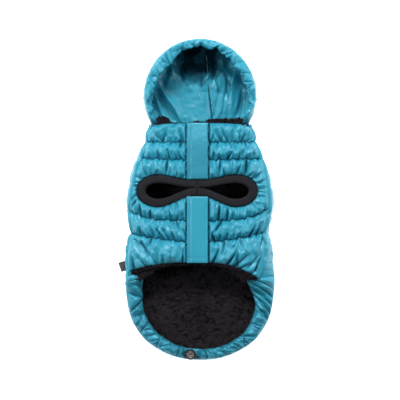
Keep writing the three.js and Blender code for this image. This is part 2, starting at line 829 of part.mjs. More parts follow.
const finish = {
  shell: new THREE.MeshStandardMaterial({ color: COLOUR.shell, roughness: 0.32, metalness: 0 }),
  fleece: new THREE.MeshStandardMaterial({ color: COLOUR.fleece, roughness: 0.95, metalness: 0 }),
  rib: new THREE.MeshStandardMaterial({ color: COLOUR.rib, roughness: 0.85, metalness: 0 }),
  ribbon: new THREE.MeshStandardMaterial({ color: COLOUR.ribbon, roughness: 0.6, metalness: 0 }),
  lock: new THREE.MeshStandardMaterial({ color: COLOUR.lock, roughness: 0.35, metalness: 0 }),
  badge: new THREE.MeshStandardMaterial({ color: COLOUR.badge, roughness: 0.35, metalness: 0.8 }),
};

const coat = new THREE.Group();

function add(name, geometry, material, place = [0, 0, 0]) {
  const mesh = new THREE.Mesh(geometry, material);
  mesh.name = name;
  mesh.position.set(...place);
  coat.add(mesh);
}

const legTop = LEGS.waistY + LEGS.waistHalf + 2 * SEAM_GAP;
const legFoot = LEGS.waistY - LEGS.waistHalf - 2 * SEAM_GAP;
const arch = ROWS[ROWS.length - 1].middle;

add("back_panel", backPanel(), finish.shell);
add("back_lining", backLining(), finish.fleece);
for (const [name, side] of [
  ["left", -1],
  ["right", 1],
]) {
  add(`front_${name}`, front(side), finish.shell);
  add(`belly_lining_${name}`, bellyLining(side), finish.fleece);
  add(`leg_binding_${name}`, legBinding(side), finish.rib);
  add(`hood_${name}`, hoodPanel(side), finish.shell);
}
add("flap_upper", flap(ROWS[0].middle, legTop), finish.shell);
add("flap_lower", flap(legFoot, arch - 0.6), finish.shell);
add("hem", hem(), finish.shell);
add("hood_rim", hoodRim(), finish.shell);
add("neck_lining", neckLining(), finish.fleece);
add("label_tab", labelTab(), finish.ribbon);
add("cord_lock", lockBody(), finish.lock, [LOCK.x, LOCK.y, LOCK.z]);
add("cord_lock_badge", lockBadge(), finish.badge, [LOCK.x, LOCK.y, LOCK.z + LOCK.high + SEAM_GAP]);

export default coat;
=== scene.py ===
"""A quilted winter coat for a small dog, laid on its back with the hood open, as a Blender add-on.

Lengths inside the shape functions are millimetres. x runs to the coat's right, y from the hem to the hood,
and z up.
"""

import math

import bpy
import numpy as np
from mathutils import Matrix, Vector


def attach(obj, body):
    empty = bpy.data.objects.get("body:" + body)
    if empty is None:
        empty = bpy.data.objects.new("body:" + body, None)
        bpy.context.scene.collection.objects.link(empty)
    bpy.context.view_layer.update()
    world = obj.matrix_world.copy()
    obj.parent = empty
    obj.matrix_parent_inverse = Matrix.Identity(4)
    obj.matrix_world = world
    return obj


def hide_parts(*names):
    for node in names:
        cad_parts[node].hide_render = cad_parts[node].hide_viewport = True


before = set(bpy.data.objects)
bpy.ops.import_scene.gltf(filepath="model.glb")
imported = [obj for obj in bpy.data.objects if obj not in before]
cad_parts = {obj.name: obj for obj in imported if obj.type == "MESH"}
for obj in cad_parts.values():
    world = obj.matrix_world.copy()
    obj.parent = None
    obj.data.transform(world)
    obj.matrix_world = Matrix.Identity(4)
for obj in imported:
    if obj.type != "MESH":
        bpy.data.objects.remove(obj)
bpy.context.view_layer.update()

bl_info = {
    "name": "Dog winter coat",
    "version": (1, 0, 0),
    "blender": (4, 5, 0),
    "location": "3D View > Sidebar > Coat",
    "description": "Builds a quilted, hooded dog coat from sizes and colours",
    "category": "Mesh",
}

MM = 0.001
BODY = "root"

# The finishes that are also colour slots of the part
SLOTS = ("shell", "fleece", "rib", "ribbon", "lock", "badge")

# The cut, as in the frame's solids: gaps and thicknesses first, then the body's places
SEAM_GAP = 0.3
LINING_GAP = 0.12
SHELL = 3.0
HOOD_CLOTH = 2.0
FLEECE = 3.0
BACK_FLEECE = 5.0
RIM_CLOTH = 2.0
NECK_Y = 104.0
REAR_Y = -227.0
SIDE_Z = 22.0
REAR_SIDE_Z = 14.0
CORNER = 24.0
CLOSING_X = -2.0
FAN_Y = -110.0
FAN_REACH = 40.0
FLAP_LEFT = -18.4
FLAP_RIGHT = 11.2
FLAP_RELIEF = 2.0
FLAP_BASE = FLAP_RELIEF + SEAM_GAP + 2 * LINING_GAP


def rows(columns, *lines):
    """A table as a dictionary of arrays, one for each named column."""
    values = np.array(lines, float)
    return {name: values[:, i] for i, name in enumerate(columns.split())}


OUTLINE = rows(
    "at half",
    (104, 70),
    (95, 75),
    (82, 78.6),
    (68, 85),
    (54, 92),
    (40, 97),
    (12, 103),
    (-14, 104.4),
    (-32, 101.5),
    (-46, 98.4),
    (-58, 101.6),
    (-74, 104.5),
    (-120, 105.2),
    (-141, 103.3),
    (-158, 100.5),
    (-172, 95.6),
    (-186, 87.5),
    (-200, 76),
    (-211, 60.5),
    (-220, 42.5),
    (-225.4, 24),
)
CROWN = rows("at height", (106, 43), (80, 46), (20, 49), (-50, 50), (-115, 48))
SIDE_SEAM = rows(
    "at left right",
    (98, 4, 3),
    (80, 6, 4),
    (57, 9, 6.5),
    (20, 9, 8),
    (-30, 6, 9),
    (-57, 4.5, 12),
    (-90, 5, 17),
    (-102, 7, 21),
    (-112, 8, 24),
    (-115, 6, 20),
    (-118, 2, 3),
    (-121, 0.4, 0.4),
)
SEAM_LINES = rows(
    "middle left right bow",
    (106, 98, 98, 6),
    (79, 79.5, 79.5, 2),
    (54.6, 57, 56, 2),
    (-30, -17, -12, 4),
    (-59.5, -48.4, -46.6, 2),
    (-88.2, -101.5, -112, 2.4),
)
NECK_FLEECE = rows(
    "at edge",
    (-65, 107),
    (-61, 113),
    (-55, 116),
    (-47, 114.5),
    (-42, 109),
    (-37, 106.6),
    (-12, 106.6),
    (-3, 109),
    (5, 107),
    (12, 112),
    (30, 112.5),
    (54, 113.5),
    (61, 111.5),
    (64, 107),
)
FLEECE_EDGE = rows(
    "at past",
    (-100, 6),
    (-93, 14),
    (-87, 14),
    (-78, 13),
    (-70, 10),
    (-60, 6),
    (-40, 1.5),
    (0, 1),
    (38, 2),
    (52, 9),
    (66, 10),
    (76, 3),
    (90, 0.3),
)

# How wide the hem's casing is, from its left end (0) to its right end (1)
HEM_WIDTH = rows(
    "at width",
    (0, 27),
    (0.12, 22),
    (0.3, 19),
    (0.48, 16),
    (0.6, 16),
    (0.75, 19),
    (0.89, 26),
    (0.95, 36),
    (1, 46),
)

# The gathers of each quilted row. Single creases: how many, how much of the row they cross, how far they
# lean in, how much that varies, and how deep they are. Then the spacing of the even gathers, and how firmly
# they are drawn in.
GATHERS = rows(
    "count reach lean spread depth across firm",
    (3, 0.6, 4, 8, 0.85, 15, 1.0),
    (5, 0.7, 2, 7, 0.9, 9, 1.0),
    (5, 0.6, 3, 7, 0.9, 10.5, 0.9),
    (7, 0.8, 8, 8, 0.9, 13, 0.8),
    (6, 0.8, 6, 11, 0.75, 17, 0.45),
)
# The waves of a quilting line: height, turns along it, and how its phase moves from line to line
SEAM_WAVES = ((0.55, 31, 1), (0.7, 57, 2.3), (0.6, 89, 3.1))
SIDE_PUFF = 4.2
# Where the rows' seams reach the side seam
SIDE_SEAMS = {"left": (98, 79.5, 57, -17, -48), "right": (98, 79.5, -20, -49)}
HEM_LEFT_Y = -104.0
HEM_RIGHT_Y = -109.0

# The deep folds at the hem's right end: how far from it each lies, its slant, width and depth
HEM_END_FOLDS = ((8, 8, 9, 1.0), (19, 10, 9, 1.0), (31, 10, 10, 1.0), (43, 9, 9, 1.0), (55, 7, 8, 0.9))

# The fronts' plainest creases: where each starts and ends, its width and depth
MAIN_CREASES = rows(
    "x0 y0 x1 y1 width depth",
    (-24, 80, -31, 103, 9, 0.8),
    (-52, 80, -43, 98, 9, 0.85),
    (-52, 80, -67, 94, 8, 0.75),
    (-66, 80, -72, 88, 7, 0.7),
    (30, 80, 16, 99, 9, 0.8),
    (38, 80, 26, 101, 9, 0.8),
    (46, 80, 44, 96, 8, 0.7),
    (57, 80, 63, 98, 9, 0.85),
    (66, 80, 74, 91, 7, 0.7),
    (-93, 12, -101, 4, 7, 0.6),
    (-90, 2, -101, -6, 8, 0.7),
    (-88, -4, -98, -17, 8, 0.8),
    (-90, 22, -98, 26, 7, 0.6),
    (-84, 28, -92, 38, 8, 0.7),
    (-74, 33, -79, 46, 8, 0.7),
    (82, 14, 95, 16, 8, 0.7),
    (81, 22, 92, 28, 8, 0.7),
    (76, 29, 88, 40, 8, 0.75),
    (80, 4, 93, 1, 8, 0.7),
    (76, -4, 88, -12, 8, 0.7),
    (-88, -58, -72, -84, 9, 0.7),
    (-80, -62, -58, -96, 10, 0.8),
    (-60, -93, -68, -76, 8, 0.7),
    (-70, -100, -92, -72, 9, 0.75),
    (34, -60, 29, -84, 8, 0.8),
    (56, -56, 58, -74, 9, 0.75),
    (44, -97, 70, -74, 12, 0.85),
    (48, -100, 84, -84, 11, 0.8),
    (58, -108, 86, -97, 10, 0.8),
    (66, -112, 84, -107, 9, 0.75),
)

LEGS = {
    "middle": -4.0,
    "lobe": 54.0,
    "reach": 84.0,
    "waist_y": 15.5,
    "lobe_y": 11.2,
    "waist_half": 11.5,
    "lobe_half": 22.4,
    "band": 11.5,
    "tip": 3.0,
}
HOOD = {
    "centre_y": 145.5,
    "radius": 81.0,
    "foot_x": 18.0,
    "top_x": 11.0,
    "top_y": 165.0,
    "seam_angle": 84.0,
    "side_z": 22.0,
    "corner": 26.0,
    "foot_z": 33.0,
    "rise_z": 15.0,
    "lean": 3.0,
}
LOCK = {"x": -13.3, "y": -218.4, "z": 23.1, "radius": 7.4, "high": 6.4, "badge": 5.4}
LABEL = {"y": -92.5, "long": 13.6, "out": 11.0, "droop": 4.5, "thick": 1.0, "turn": 19.0}

# How wide the hood's casing is, from its left end (0) to its right end (1)
RIM_WIDTH = rows(
    "at width",
    (0, 9),
    (0.1, 11),
    (0.2, 14),
    (0.3, 17),
    (0.42, 13),
    (0.5, 11),
    (0.6, 13),
    (0.72, 16),
    (0.85, 12),
    (1, 9),
)

# The pleats that run in from the hood's edge: how many, and the seed of their places
PLEATS = {"count": 18, "seed": 101}

# The point that the hood's long folds fan out from
FAN_FOOT = (8.0, 20.0)

# The hood's main folds: a ridge or, with a negative height, a trough, from one point to another
HOOD_FOLDS = rows(
    "x0 y0 x1 y1 width height",
    (-69, 160, -62, 180, 2.6, -2.5),
    (-62, 180, -42, 192, 2.6, -2.5),
    (46, 197, 74, 171, 3.0, -3.0),
    (57, 171, 74, 146, 2.6, -2.5),
    (34, 180, 46, 146, 2.2, -2.0),
    (22, 167, 27, 146, 2.0, -1.6),
    (-66, 154, -35, 106, 3.0, -6.0),
    (-69, 150, -50, 108, 3.4, 7.0),
    (-54, 156, -24, 108, 4.4, 5.0),
    (-70, 160, -62, 118, 2.6, 2.6),
    (-37, 190, -50, 150, 7, 5.0),
    (-20, 192, -16, 150, 8, 6.0),
    (9, 192, 3, 152, 6, 5.5),
    (30, 184, 24, 150, 6, 5.0),
    (34, 158, 29, 112, 4.2, 3.4),
    (43, 176, 46, 110, 6.5, 5.0),
    (38, 172, 37, 140, 2.6, -1.5),
    (61, 156, 51, 112, 4.6, -2.4),
    (66, 152, 59, 112, 5.5, 4.6),
    (54, 186, 44, 160, 5, 5.0),
    (12, 150, 16, 106, 2.4, 2.2),
    (22, 150, 22, 108, 5, 2.0),
)

# The lower edge of the painted shadow in the pocket under the hood's top rim
POCKET_EDGE = rows(
    "at foot",
    (-78, 178),
    (-60, 186),
    (-41, 188),
    (-31, 169),
    (-17, 160),
    (-7, 163),
    (4, 155),
    (14, 168),
    (22, 166),
    (32, 181),
    (56, 200),
    (78, 185),
)

# Where the back's quilting lines run across it
BACK_LINES = np.array([79.5, 56.5, 18, -14.5, -47.5, -82, -108, -140, -172, -200])

# The back's plainest creases, which show at its sides: where each starts and ends, its width and depth
BACK_CREASES = rows(
    "x0 y0 x1 y1 width depth",
    (78, -118, 104, -124, 9, 0.8),
    (82, -126, 106, -142, 10, 0.85),
    (104, -52, 88, -62, 8, 0.6),
    (106, -96, 90, -99, 12, 0.5),
    (-104, -112, -92, -104, 8, 0.8),
    (-106, -122, -94, -116, 8, 0.8),
    (-105, -132, -92, -122, 8, 0.7),
    (-104, -8, -98, -20, 7, 0.7),
    (-105, -20, -98, -30, 7, 0.6),
    (107, -60, 84, -67, 9, 0.9),
    (107, -73, 86, -82, 9, 0.9),
    (107, -88, 84, -92, 9, 0.9),
    (107, -99, 82, -99, 8, 0.9),
    (107, -107, 86, -111, 8, 0.9),
    (-106, -58, -96, -66, 8, 0.8),
    (-107, -72, -97, -82, 8, 0.8),
    (-99, 45, -88, 34, 8, 0.7),
    (-104, 25, -94, 14, 8, 0.7),
    (-105, 8, -96, -2, 8, 0.7),
    (106, -22, 94, -30, 8, 0.9),
    (104, -34, 92, -42, 8, 0.8),
)

# How much steeper the listed creases are on one side
PLACED_LEAN = 0.2

# The fronts' uneven filling: sizes in millimetres, heights in millimetres or as shares of a row's height
SWELL = {"size": 26, "least": 0.86, "most": 1.14}
FIRM_PLACES = {"size": 11, "least": 0.35}
SMALL_PILLOWS = {"across": 5, "along": 9}
BROAD_FACETS = {"across": 9, "along": 13, "high": 4.0}
FINE_FACETS = {"across": 4.5, "along": 7, "high": 1.1, "warp": 4}
NEAR_SEAM = 11
SIDE_BLEND = 9
LEAST_LIFT = 0.1
# Beside the flap the rows are held down: the height at its edge, and how far and how soon they rise from it
FLAP_HOLD = {"foot": 0.3, "start": 0.5, "rise": 12, "radius": 10}

# The back's relief: how deep its seams are, how far from them a row is full, and its pillows
BACK_SEAM = {"depth": 2.4, "radius": 12, "strip": 2.0}
BACK_PILLOWS = {"across": 16, "along": 15, "high": 1.1}
# Where the back's edge goes under the hem, on the left and on the right
UNDER_HEM = {"left": (-124, -134), "right": (-90, -113)}

# The closing flap: its thicknesses, the border that its stitched edge presses thin, and its rolled edge
FLAP = {"border": 0.9, "body": 2.2, "border_width": 5.2, "roll": 0.7, "roll_at": 1.1, "roll_width": 0.6}

# The gathered casings: how far round they are turned in, and the steps of that turn
CASING_TURN = math.radians(162)
CASING_STEPS = 34
HEM_RISE = 10.0
HEM_CORNER_RISE = 7.0
RIM_RISE = 7.0
# How much painted shade the hem has where nothing creases it
HEM_SHADE = 0.44

# The hood's cloth: the way round its wall, its fan of flat facets, its crumples, and its pleats' depth
WALL_MM = 58
HOOD_FAN = {"across": 11, "along": 44, "high": 6.5}
HOOD_CRUMPLE = {"across": 13, "along": 17, "high": 8.0}
HOOD_PLEAT = 6.5
HOOD_CALM = {"x": -14, "y": 132, "half_x": 26, "half_y": 28}

# The view: what the picture's width covers at the height of the belly, how far the lens is, and the floor's
# own light
FRAME_MM = 560.0
LENS_AWAY = 2.4
SENSOR_MM = 36.0
FLOOR_GLOW = 1.0


# Small maths


def mix(a, b, t):
    return a + (b - a) * t


def smooth(t):
    """0 to 1 with level ends."""
    t = np.clip(t, 0, 1)
    return t * t * (3 - 2 * t)


def on_plane(x, y):
    """Points at height 0, for noise that depends on two places only."""
    x, y = np.broadcast_arrays(x, y)
    return np.stack([x, y, 0 * x], -1)


def lines_of(table):
    """A table's lines again, each a tuple of its values."""
    return list(zip(*table.values()))


def round_up(distance, radius):
    """A quarter round: 0 at the seam and 1 at the radius, standing straight up at its foot."""
    return np.sqrt(np.clip(1 - (1 - np.clip(distance / radius, 0, 1)) ** 2, 0, 1))


def read(table, column, at):
    """A column between its rows: a cubic through the two nearest, with slopes taken across their
    neighbours."""
    order = np.argsort(table["at"])
    x = table["at"][order]
    v = table[column][order]
    before = np.maximum(np.arange(len(x)) - 1, 0)
    after = np.minimum(np.arange(len(x)) + 1, len(x) - 1)
    slope = (v[after] - v[before]) / (x[after] - x[before])
    at = np.clip(np.asarray(at, float), x[0], x[-1])
    k = np.clip(np.searchsorted(x, at, side="right") - 1, 0, len(x) - 2)
    span = x[k + 1] - x[k]
    t = (at - x[k]) / span
    bend = (1 - t) ** 2 * t * span * slope[k] - t**2 * (1 - t) * span * slope[k + 1]
    return mix(v[k], v[k + 1], smooth(t)) + bend


def lattice(cells, seed):
    """A repeatable number from 0 to 1 for each whole-number cell, from an integer hash."""
    primes = np.array([374761393, 668265263, 2147483647])
    h = (cells * primes).sum(-1) + seed * 974634777
    h = (h ^ (h >> 13)) * 1274126177
    return ((h ^ (h >> 16)) & 0xFFFFFF) / 0xFFFFFF


def noise(points, size, seed):
    """Soft noise from 0 to 1: hashed corners of a grid of cells of that size, blended along x, y and z."""
    p = np.asarray(points) / size
    cell = np.floor(p).astype(np.int64)
    f = smooth(p - cell)
    total = 0
    for corner in np.ndindex(2, 2, 2):
        step = np.array(corner)
        weight = np.prod(np.where(step, f, 1 - f), axis=-1)
        total = total + weight * lattice(cell + step, seed)
    return total


def facets(x, y, across, along, seed, warp=7):
    """Flat facets that meet in sharp ridges and creases, as stiff cloth crumples: hashed heights from 0 to
    1 at the corners of a grid of triangles, joined by planes, over coordinates that soft noise has
    shifted."""
    p = on_plane(x, y)
    px = (x + warp * (noise(p, 1.6 * across, seed) - 0.5)) / across
    py = (y + warp * (noise(p, 1.6 * across, seed + 1) - 0.5)) / along
    skew = (math.sqrt(3) - 1) / 2 * (px + py)
    cell = np.floor(np.stack([px + skew, py + skew, 0 * px], -1)).astype(np.int64)
    fx = px + skew - cell[..., 0]
    fy = py + skew - cell[..., 1]
    right = fx > fy
    step = np.stack([right, ~right, 0 * right], -1).astype(np.int64)
    start = lattice(cell, seed + 2)
    middle = lattice(cell + step, seed + 2)
    end = lattice(cell + np.array([1, 1, 0]), seed + 2)
    return mix(start, middle, np.maximum(fx, fy)) + (end - middle) * np.minimum(fx, fy)


def normals(grid):
    """Unit normals of a grid of points: the cross product of its two directions."""
    across = np.gradient(grid, axis=0)
    along = np.gradient(grid, axis=1)
    n = np.cross(across, along)
    return n / np.maximum(np.linalg.norm(n, axis=-1, keepdims=True), 1e-9)


def line_distance(x, y, x0, y0, x1, y1):
    """How far points lie to the side of a line, with a sign, and how far along it they are, as a share."""
    dx, dy = x1 - x0, y1 - y0
    length = math.hypot(dx, dy)
    t = np.clip(((x - x0) * dx + (y - y0) * dy) / length**2, 0, 1)
    off = np.hypot(x - x0 - t * dx, y - y0 - t * dy)
    side = np.sign((x - x0) * dy - (y - y0) * dx)
    return off, t, side


def crease_depth(x, y, creases, power=5):
    """How deep creases cut a puffed surface, from 0 to 1. Each is a sharp valley with round shoulders,
    deepest where it starts and gone where it ends, and steeper on one side. Together they are the root of
    the sum of their powers."""
    total = np.zeros_like(x)
    for x0, y0, x1, y1, width, depth, lean in creases:
        reach = width * (1 + abs(lean)) + math.hypot(x1 - x0, y1 - y0)
        near = (np.abs(x - x0) < reach) & (np.abs(y - y0) < reach)
        if not near.any():
            continue
        off, t, side = line_distance(x[near], y[near], x0, y0, x1, y1)
        wide = width * (1 - 0.35 * t) * (1 + lean * side)
        cut = depth * (1 - t**2) * (1 - np.sin(math.pi / 2 * np.clip(off / wide, 0, 1)))
        total[near] += cut**power
    return np.clip(total ** (1 / power), 0, 0.97)


def billow(x, y, across, along, seed):
    """Pillows with sharp creases between them: how far warped, stretched noise is from its middle value, with
    each pillow's top rounded over. 0 in a crease and 1 on top of a pillow."""
    p = on_plane(x, y)
    slide = 11 * (noise(p, 15, seed) - 0.5)
    shift = 9 * (noise(p, 12, seed + 1) - 0.5)
    n = noise(on_plane((x + slide) / across, (y + shift) / along), 1.0, seed + 2)
    away = np.clip(np.abs(2 * n - 1) / 0.75, 0, 1)
    return 1 - (1 - away) ** 1.6


def gathers(along, share, spacing, seed):
    """Folds that run in from a row's two seams: sharp valleys with round ridges between them, from the
    absolute value of a sine whose place wanders. Each seam's folds fade into the other's in mid row. 0 in a
    valley and 1 on a ridge."""
    from_foot = smooth(1.5 * share - 0.25)
    total = 0
    for k, (way, weight) in enumerate(((share, 1 - from_foot), (share - 1, from_foot))):
        wander = 2.0 * spacing * (noise(on_plane(along / (2.4 * spacing), 0.9 * way), 1, seed + k) - 0.5)
        slant = 32 * (noise(on_plane(along, 0), 24, seed + 5 + k) - 0.5) * way
        total = total + weight * np.abs(np.sin(math.pi * (along + wander + slant) / spacing)) ** 0.75
    return total


# The body's form


def half_width(y):
    return read(OUTLINE, "half", y)


def crown(y):
    return read(CROWN, "height", y)


def seam_inset(y, side):
    return np.maximum(0.4, read(SIDE_SEAM, "left" if side < 0 else "right", y))


def base_z(x, y):
    """The belly's height: a superellipse across the coat, from its widest line up to the crown."""
    q = np.clip(np.abs(x) / half_width(y), 0, 0.9999)
    return SIDE_Z + (crown(y) - SIDE_Z) * np.sqrt(1 - q**3)


def on_belly(x, y, lift):
    """Points of the belly's surface moved out along its normal, worked out from the slopes each way."""
    h = 0.5
    slope_x = (base_z(x + h, y) - base_z(x - h, y)) / (2 * h)
    slope_y = (base_z(x, y + h) - base_z(x, y - h)) / (2 * h)
    size = np.sqrt(slope_x**2 + slope_y**2 + 1)
    return np.stack([x - slope_x * lift / size, y - slope_y * lift / size, base_z(x, y) + lift / size], -1)


class Rim:
    """The outline seen from above, from the left neck corner round the hem to the right one, as a dense
    line: the table's curve down each side and a parabola across the rear, spaced evenly and then averaged
    along itself."""

    def __init__(self):
        y = np.linspace(NECK_Y, OUTLINE["at"][-1], 700)
        left = np.stack([-half_width(y), y], 1)
        tip = np.linspace(-1, 1, 60)[1:-1]
        end = OUTLINE["half"][-1]
        bottom = np.stack([tip * end, REAR_Y + (OUTLINE["at"][-1] - REAR_Y) * tip**2], 1)
        line = np.concatenate([left, bottom, left[::-1] * [-1, 1]])
        step = np.hypot(*np.diff(line, axis=0).T)
        length = np.concatenate([[0], np.cumsum(step)])
        self.length = length[-1]
        share = np.linspace(0, 1, 1601)
        even = np.stack([np.interp(share, length / length[-1], line[:, i]) for i in (0, 1)], 1)
        window = np.ones(21) / 21
        soft = np.stack([np.convolve(even[:, i], window, "same") for i in (0, 1)], 1)
        soft[:12] = even[:12]
        soft[-12:] = even[-12:]
        self.share = share
        self.line = soft

    def at(self, t):
        return np.stack([np.interp(t, self.share, self.line[:, i]) for i in (0, 1)], -1)

    def place(self, y):
        """The share of the way round at which the left side passes a height y."""
        half = self.line[:801]
        return float(np.interp(-y, -half[:, 1], self.share[:801]))


RIM = Rim()


def stations(t):
    """Places round the outline: the foot there, the unit way in to the coat's spine, and how far the spine
    is."""
    foot = RIM.at(t)
    share = np.clip((FAN_Y - foot[:, 1]) / (FAN_Y - REAR_Y), 0, 1)
    spine_y = np.where(foot[:, 1] >= FAN_Y, foot[:, 1], FAN_Y - FAN_REACH * share)
    way = np.stack([-foot[:, 0], spine_y - foot[:, 1]], 1)
    wide = np.hypot(*way.T)
    rear = smooth((FAN_Y - foot[:, 1]) / 34)
    return {
        "foot": foot,
        "way": way / wide[:, None],
        "wide": wide,
        "side_z": mix(SIDE_Z, REAR_SIDE_Z, rear),
        "left": t < 0.5,
    }


def place(st, d, z):
    """A grid of points from distances in from each station's foot and heights."""
    xy = st["foot"][:, None] + st["way"][:, None] * d[..., None]
    return np.concatenate([xy, np.broadcast_to(z, d.shape)[..., None]], -1)


def seam_distance(st):
    """How far in from each station's foot the side seam is."""
    y = st["foot"][:, 1]
    return np.where(st["left"], seam_inset(y, -1), seam_inset(y, 1))


def body_section(st, floor, corner, shoulder):
    """The tray across each station: flat floor, elliptic corner, then the belly's curve up to the side
    seam."""
    wide = st["wide"][:, None]
    side_z = st["side_z"][:, None]
    u = np.linspace(0, 1, floor + 1)[None]
    a = np.linspace(0, math.pi / 2, corner + 1)[None, 1:]
    v = np.linspace(0, 1, shoulder + 1)[None, 1:]
    d3 = seam_distance(st)[:, None] * v**2
    rise = (crown(st["foot"][:, 1]) - st["side_z"])[:, None]
    d = [mix(wide, CORNER, u), CORNER * (1 - np.sin(a)) + 0 * wide, d3]
    z = [0 * wide * u, side_z * (1 - np.cos(a)), side_z + rise * np.sqrt(1 - (1 - d3 / wide) ** 3)]
    return np.concatenate(d, 1), np.concatenate(z, 1)


# Meshes


def make_piece(name, points, faces, finish, node=None, values=None):
    """A mesh object at the origin from points in millimetres and faces as index rows of three or four."""
    mesh = bpy.data.meshes.new(name)
    points = np.asarray(points, float).reshape(-1, 3) * MM
    loops = [np.asarray(f, np.int32) for f in faces if len(f)]
    sizes = np.concatenate([np.full(len(f), f.shape[1], np.int32) for f in loops])
    corners = np.concatenate([f.ravel() for f in loops])
    mesh.vertices.add(len(points))
    mesh.vertices.foreach_set("co", points.ravel())
    mesh.loops.add(len(corners))
    mesh.loops.foreach_set("vertex_index", corners)
    mesh.polygons.add(len(sizes))
    mesh.polygons.foreach_set("loop_start", np.concatenate([[0], np.cumsum(sizes)[:-1]]).astype(np.int32))
    mesh.update(calc_edges=True)
    mesh.validate()
    mesh.polygons.foreach_set("use_smooth", np.full(len(mesh.polygons), True))
    for label, data in (values or {}).items():
        layer = mesh.attributes.new(label, "FLOAT", "POINT")
        layer.data.foreach_set("value", np.asarray(data, np.float32).ravel())
    mesh.materials.append(bpy.data.materials["coat_" + finish])
    piece = bpy.data.objects.new(name, mesh)
    bpy.context.scene.collection.objects.link(piece)
    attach(piece, BODY)
    finish in SLOTS
    if node:
        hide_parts(*([node] if isinstance(node, str) else node))
    return piece


def grid_faces(m, n, close=False):
    """Quads of an m by n grid of points, running round in the second direction if it closes."""
    index = np.arange(m * n).reshape(m, n)
    if close:
        index = np.concatenate([index, index[:, :1]], 1)
    return np.stack([index[:-1, :-1], index[1:, :-1], index[1:, 1:], index[:-1, 1:]], -1).reshape(-1, 4)


def shell_faces(quads, count):
    """Faces of a closed wall: the outer quads, the inner ones turned round, and a rim on each edge that
    only one quad has."""
    edges = np.concatenate([quads[:, [i, (i + 1) % 4]] for i in range(4)])
    key = np.sort(edges, 1)
    code = key[:, 0].astype(np.int64) * count + key[:, 1]
    _, first, times = np.unique(code, return_index=True, return_counts=True)
    rim = edges[first[times == 1]]
    rims = np.stack([rim[:, 1], rim[:, 0], rim[:, 0] + count, rim[:, 1] + count], 1)
    return [quads, quads[:, ::-1] + count, rims]


def wall(name, outer, inner, finish, node=None, keep=None, values=None, mirrored=False):
    """A closed wall between an outer grid, whose normals point out, and an inner grid of the same size.
    Values are one grid for both faces, or a pair. A mirrored grid's first column is a spine that its two
    halves share, so they are welded there."""
    m, n = outer.shape[:2]
    quads = grid_faces(m, n)
    if mirrored:
        same = np.arange(m * n).reshape(m, n)
        same[:, 0] = np.minimum(same[:, 0], same[::-1, 0])
        quads = same.ravel()[quads]
    if keep is not None:
        quads = quads[keep.reshape(-1)]
    used = np.unique(quads)
    index = np.full(m * n, -1)
    index[used] = np.arange(len(used))
    quads = index[quads]
    points = np.concatenate([outer.reshape(-1, 3)[used], inner.reshape(-1, 3)[used]])
    pairs = {k: v if isinstance(v, tuple) else (v, v) for k, v in (values or {}).items()}
    data = {k: np.concatenate([face.ravel()[used] for face in pair]) for k, pair in pairs.items()}
    return make_piece(name, points, shell_faces(quads, len(used)), finish, node, values=data)


def hoop(name, loops, finish, node=None, closed=False, values=None):
    """A body through closed sections: running round to its start, or with a fan of triangles at each end."""
    m, n = loops.shape[:2]
    index = np.arange(m * n).reshape(m, n)
    around = np.concatenate([index, index[:, :1]], 1)
    if closed:
        around = np.concatenate([around, around[:1]], 0)
    quads = np.stack([around[:-1, :-1], around[1:, :-1], around[1:, 1:], around[:-1, 1:]], -1).reshape(-1, 4)
    points = loops.reshape(-1, 3)
    faces = [quads]
    if not closed:
        points = np.concatenate([points, loops[:1].mean(1), loops[-1:].mean(1)])
        first = np.stack([around[0, :-1], around[0, 1:], np.full(n, m * n)], 1)
        last = np.stack([around[-1, 1:], around[-1, :-1], np.full(n, m * n + 1)], 1)
        faces += [first, last]
    extra = 0 if closed else 2
    data = {k: np.concatenate([v.ravel(), np.zeros(extra)]) for k, v in (values or {}).items()}
    return facing_out(make_piece(name, points, faces, finish, node, values=data), points, faces)


def signed_volume(points, faces):
    """Six times the volume that faces enclose, negative if they face inwards."""
    total = 0
    for f in faces:
        a, b, c = (points[f[:, i]] for i in range(3))
        total += np.einsum("ij,ij->i", a, np.cross(b, c)).sum()
        if f.shape[1] == 4:
            d = points[f[:, 3]]
            total += np.einsum("ij,ij->i", a, np.cross(c, d)).sum()
    return total


def facing_out(piece, points, faces):
    """The piece, turned inside out if its faces pointed in."""
    if signed_volume(np.reshape(points, (-1, 3)), faces) < 0:
        piece.data.flip_normals()
    return piece


def lathe(name, profile, centre, finish, node=None, around=48, ribs=(0, 0)):
    """A profile of radii and heights turned round an upright axis, with its walls ribbed by a cosine."""
    profile = np.array(profile, float)
    a = np.linspace(0, 2 * math.pi, around, endpoint=False)
    on_wall = profile[:, None, 0] > 0.9 * profile[:, 0].max()
    r = profile[:, None, 0] * (1 + ribs[1] * np.cos(ribs[0] * a)[None] * on_wall)
    z = np.broadcast_to(profile[:, None, 1], r.shape)
    loops = np.stack([centre[0] + r * np.cos(a), centre[1] + r * np.sin(a), centre[2] + z], -1)
    return hoop(name, loops, finish, node)


def tube(name, path, radius, finish, node=None, sides=12):
    """A round cord along points, with a slightly smaller first and last ring so that its ends look cut."""
    path = np.asarray(path, float)
    way = np.gradient(path, axis=0)
    way /= np.linalg.norm(way, axis=1, keepdims=True)
    up = np.array([0.0, 0.0, 1.0])
    side = np.cross(way, up)
    side /= np.maximum(np.linalg.norm(side, axis=1, keepdims=True), 1e-9)
    top = np.cross(side, way)
    a = np.linspace(0, 2 * math.pi, sides, endpoint=False)
    r = np.full(len(path), radius)
    r[[0, -1]] *= 0.8
    ring = side[:, None] * np.cos(a)[None, :, None] + top[:, None] * np.sin(a)[None, :, None]
    return hoop(name, path[:, None] + ring * r[:, None, None], finish, node)


# The leg holes


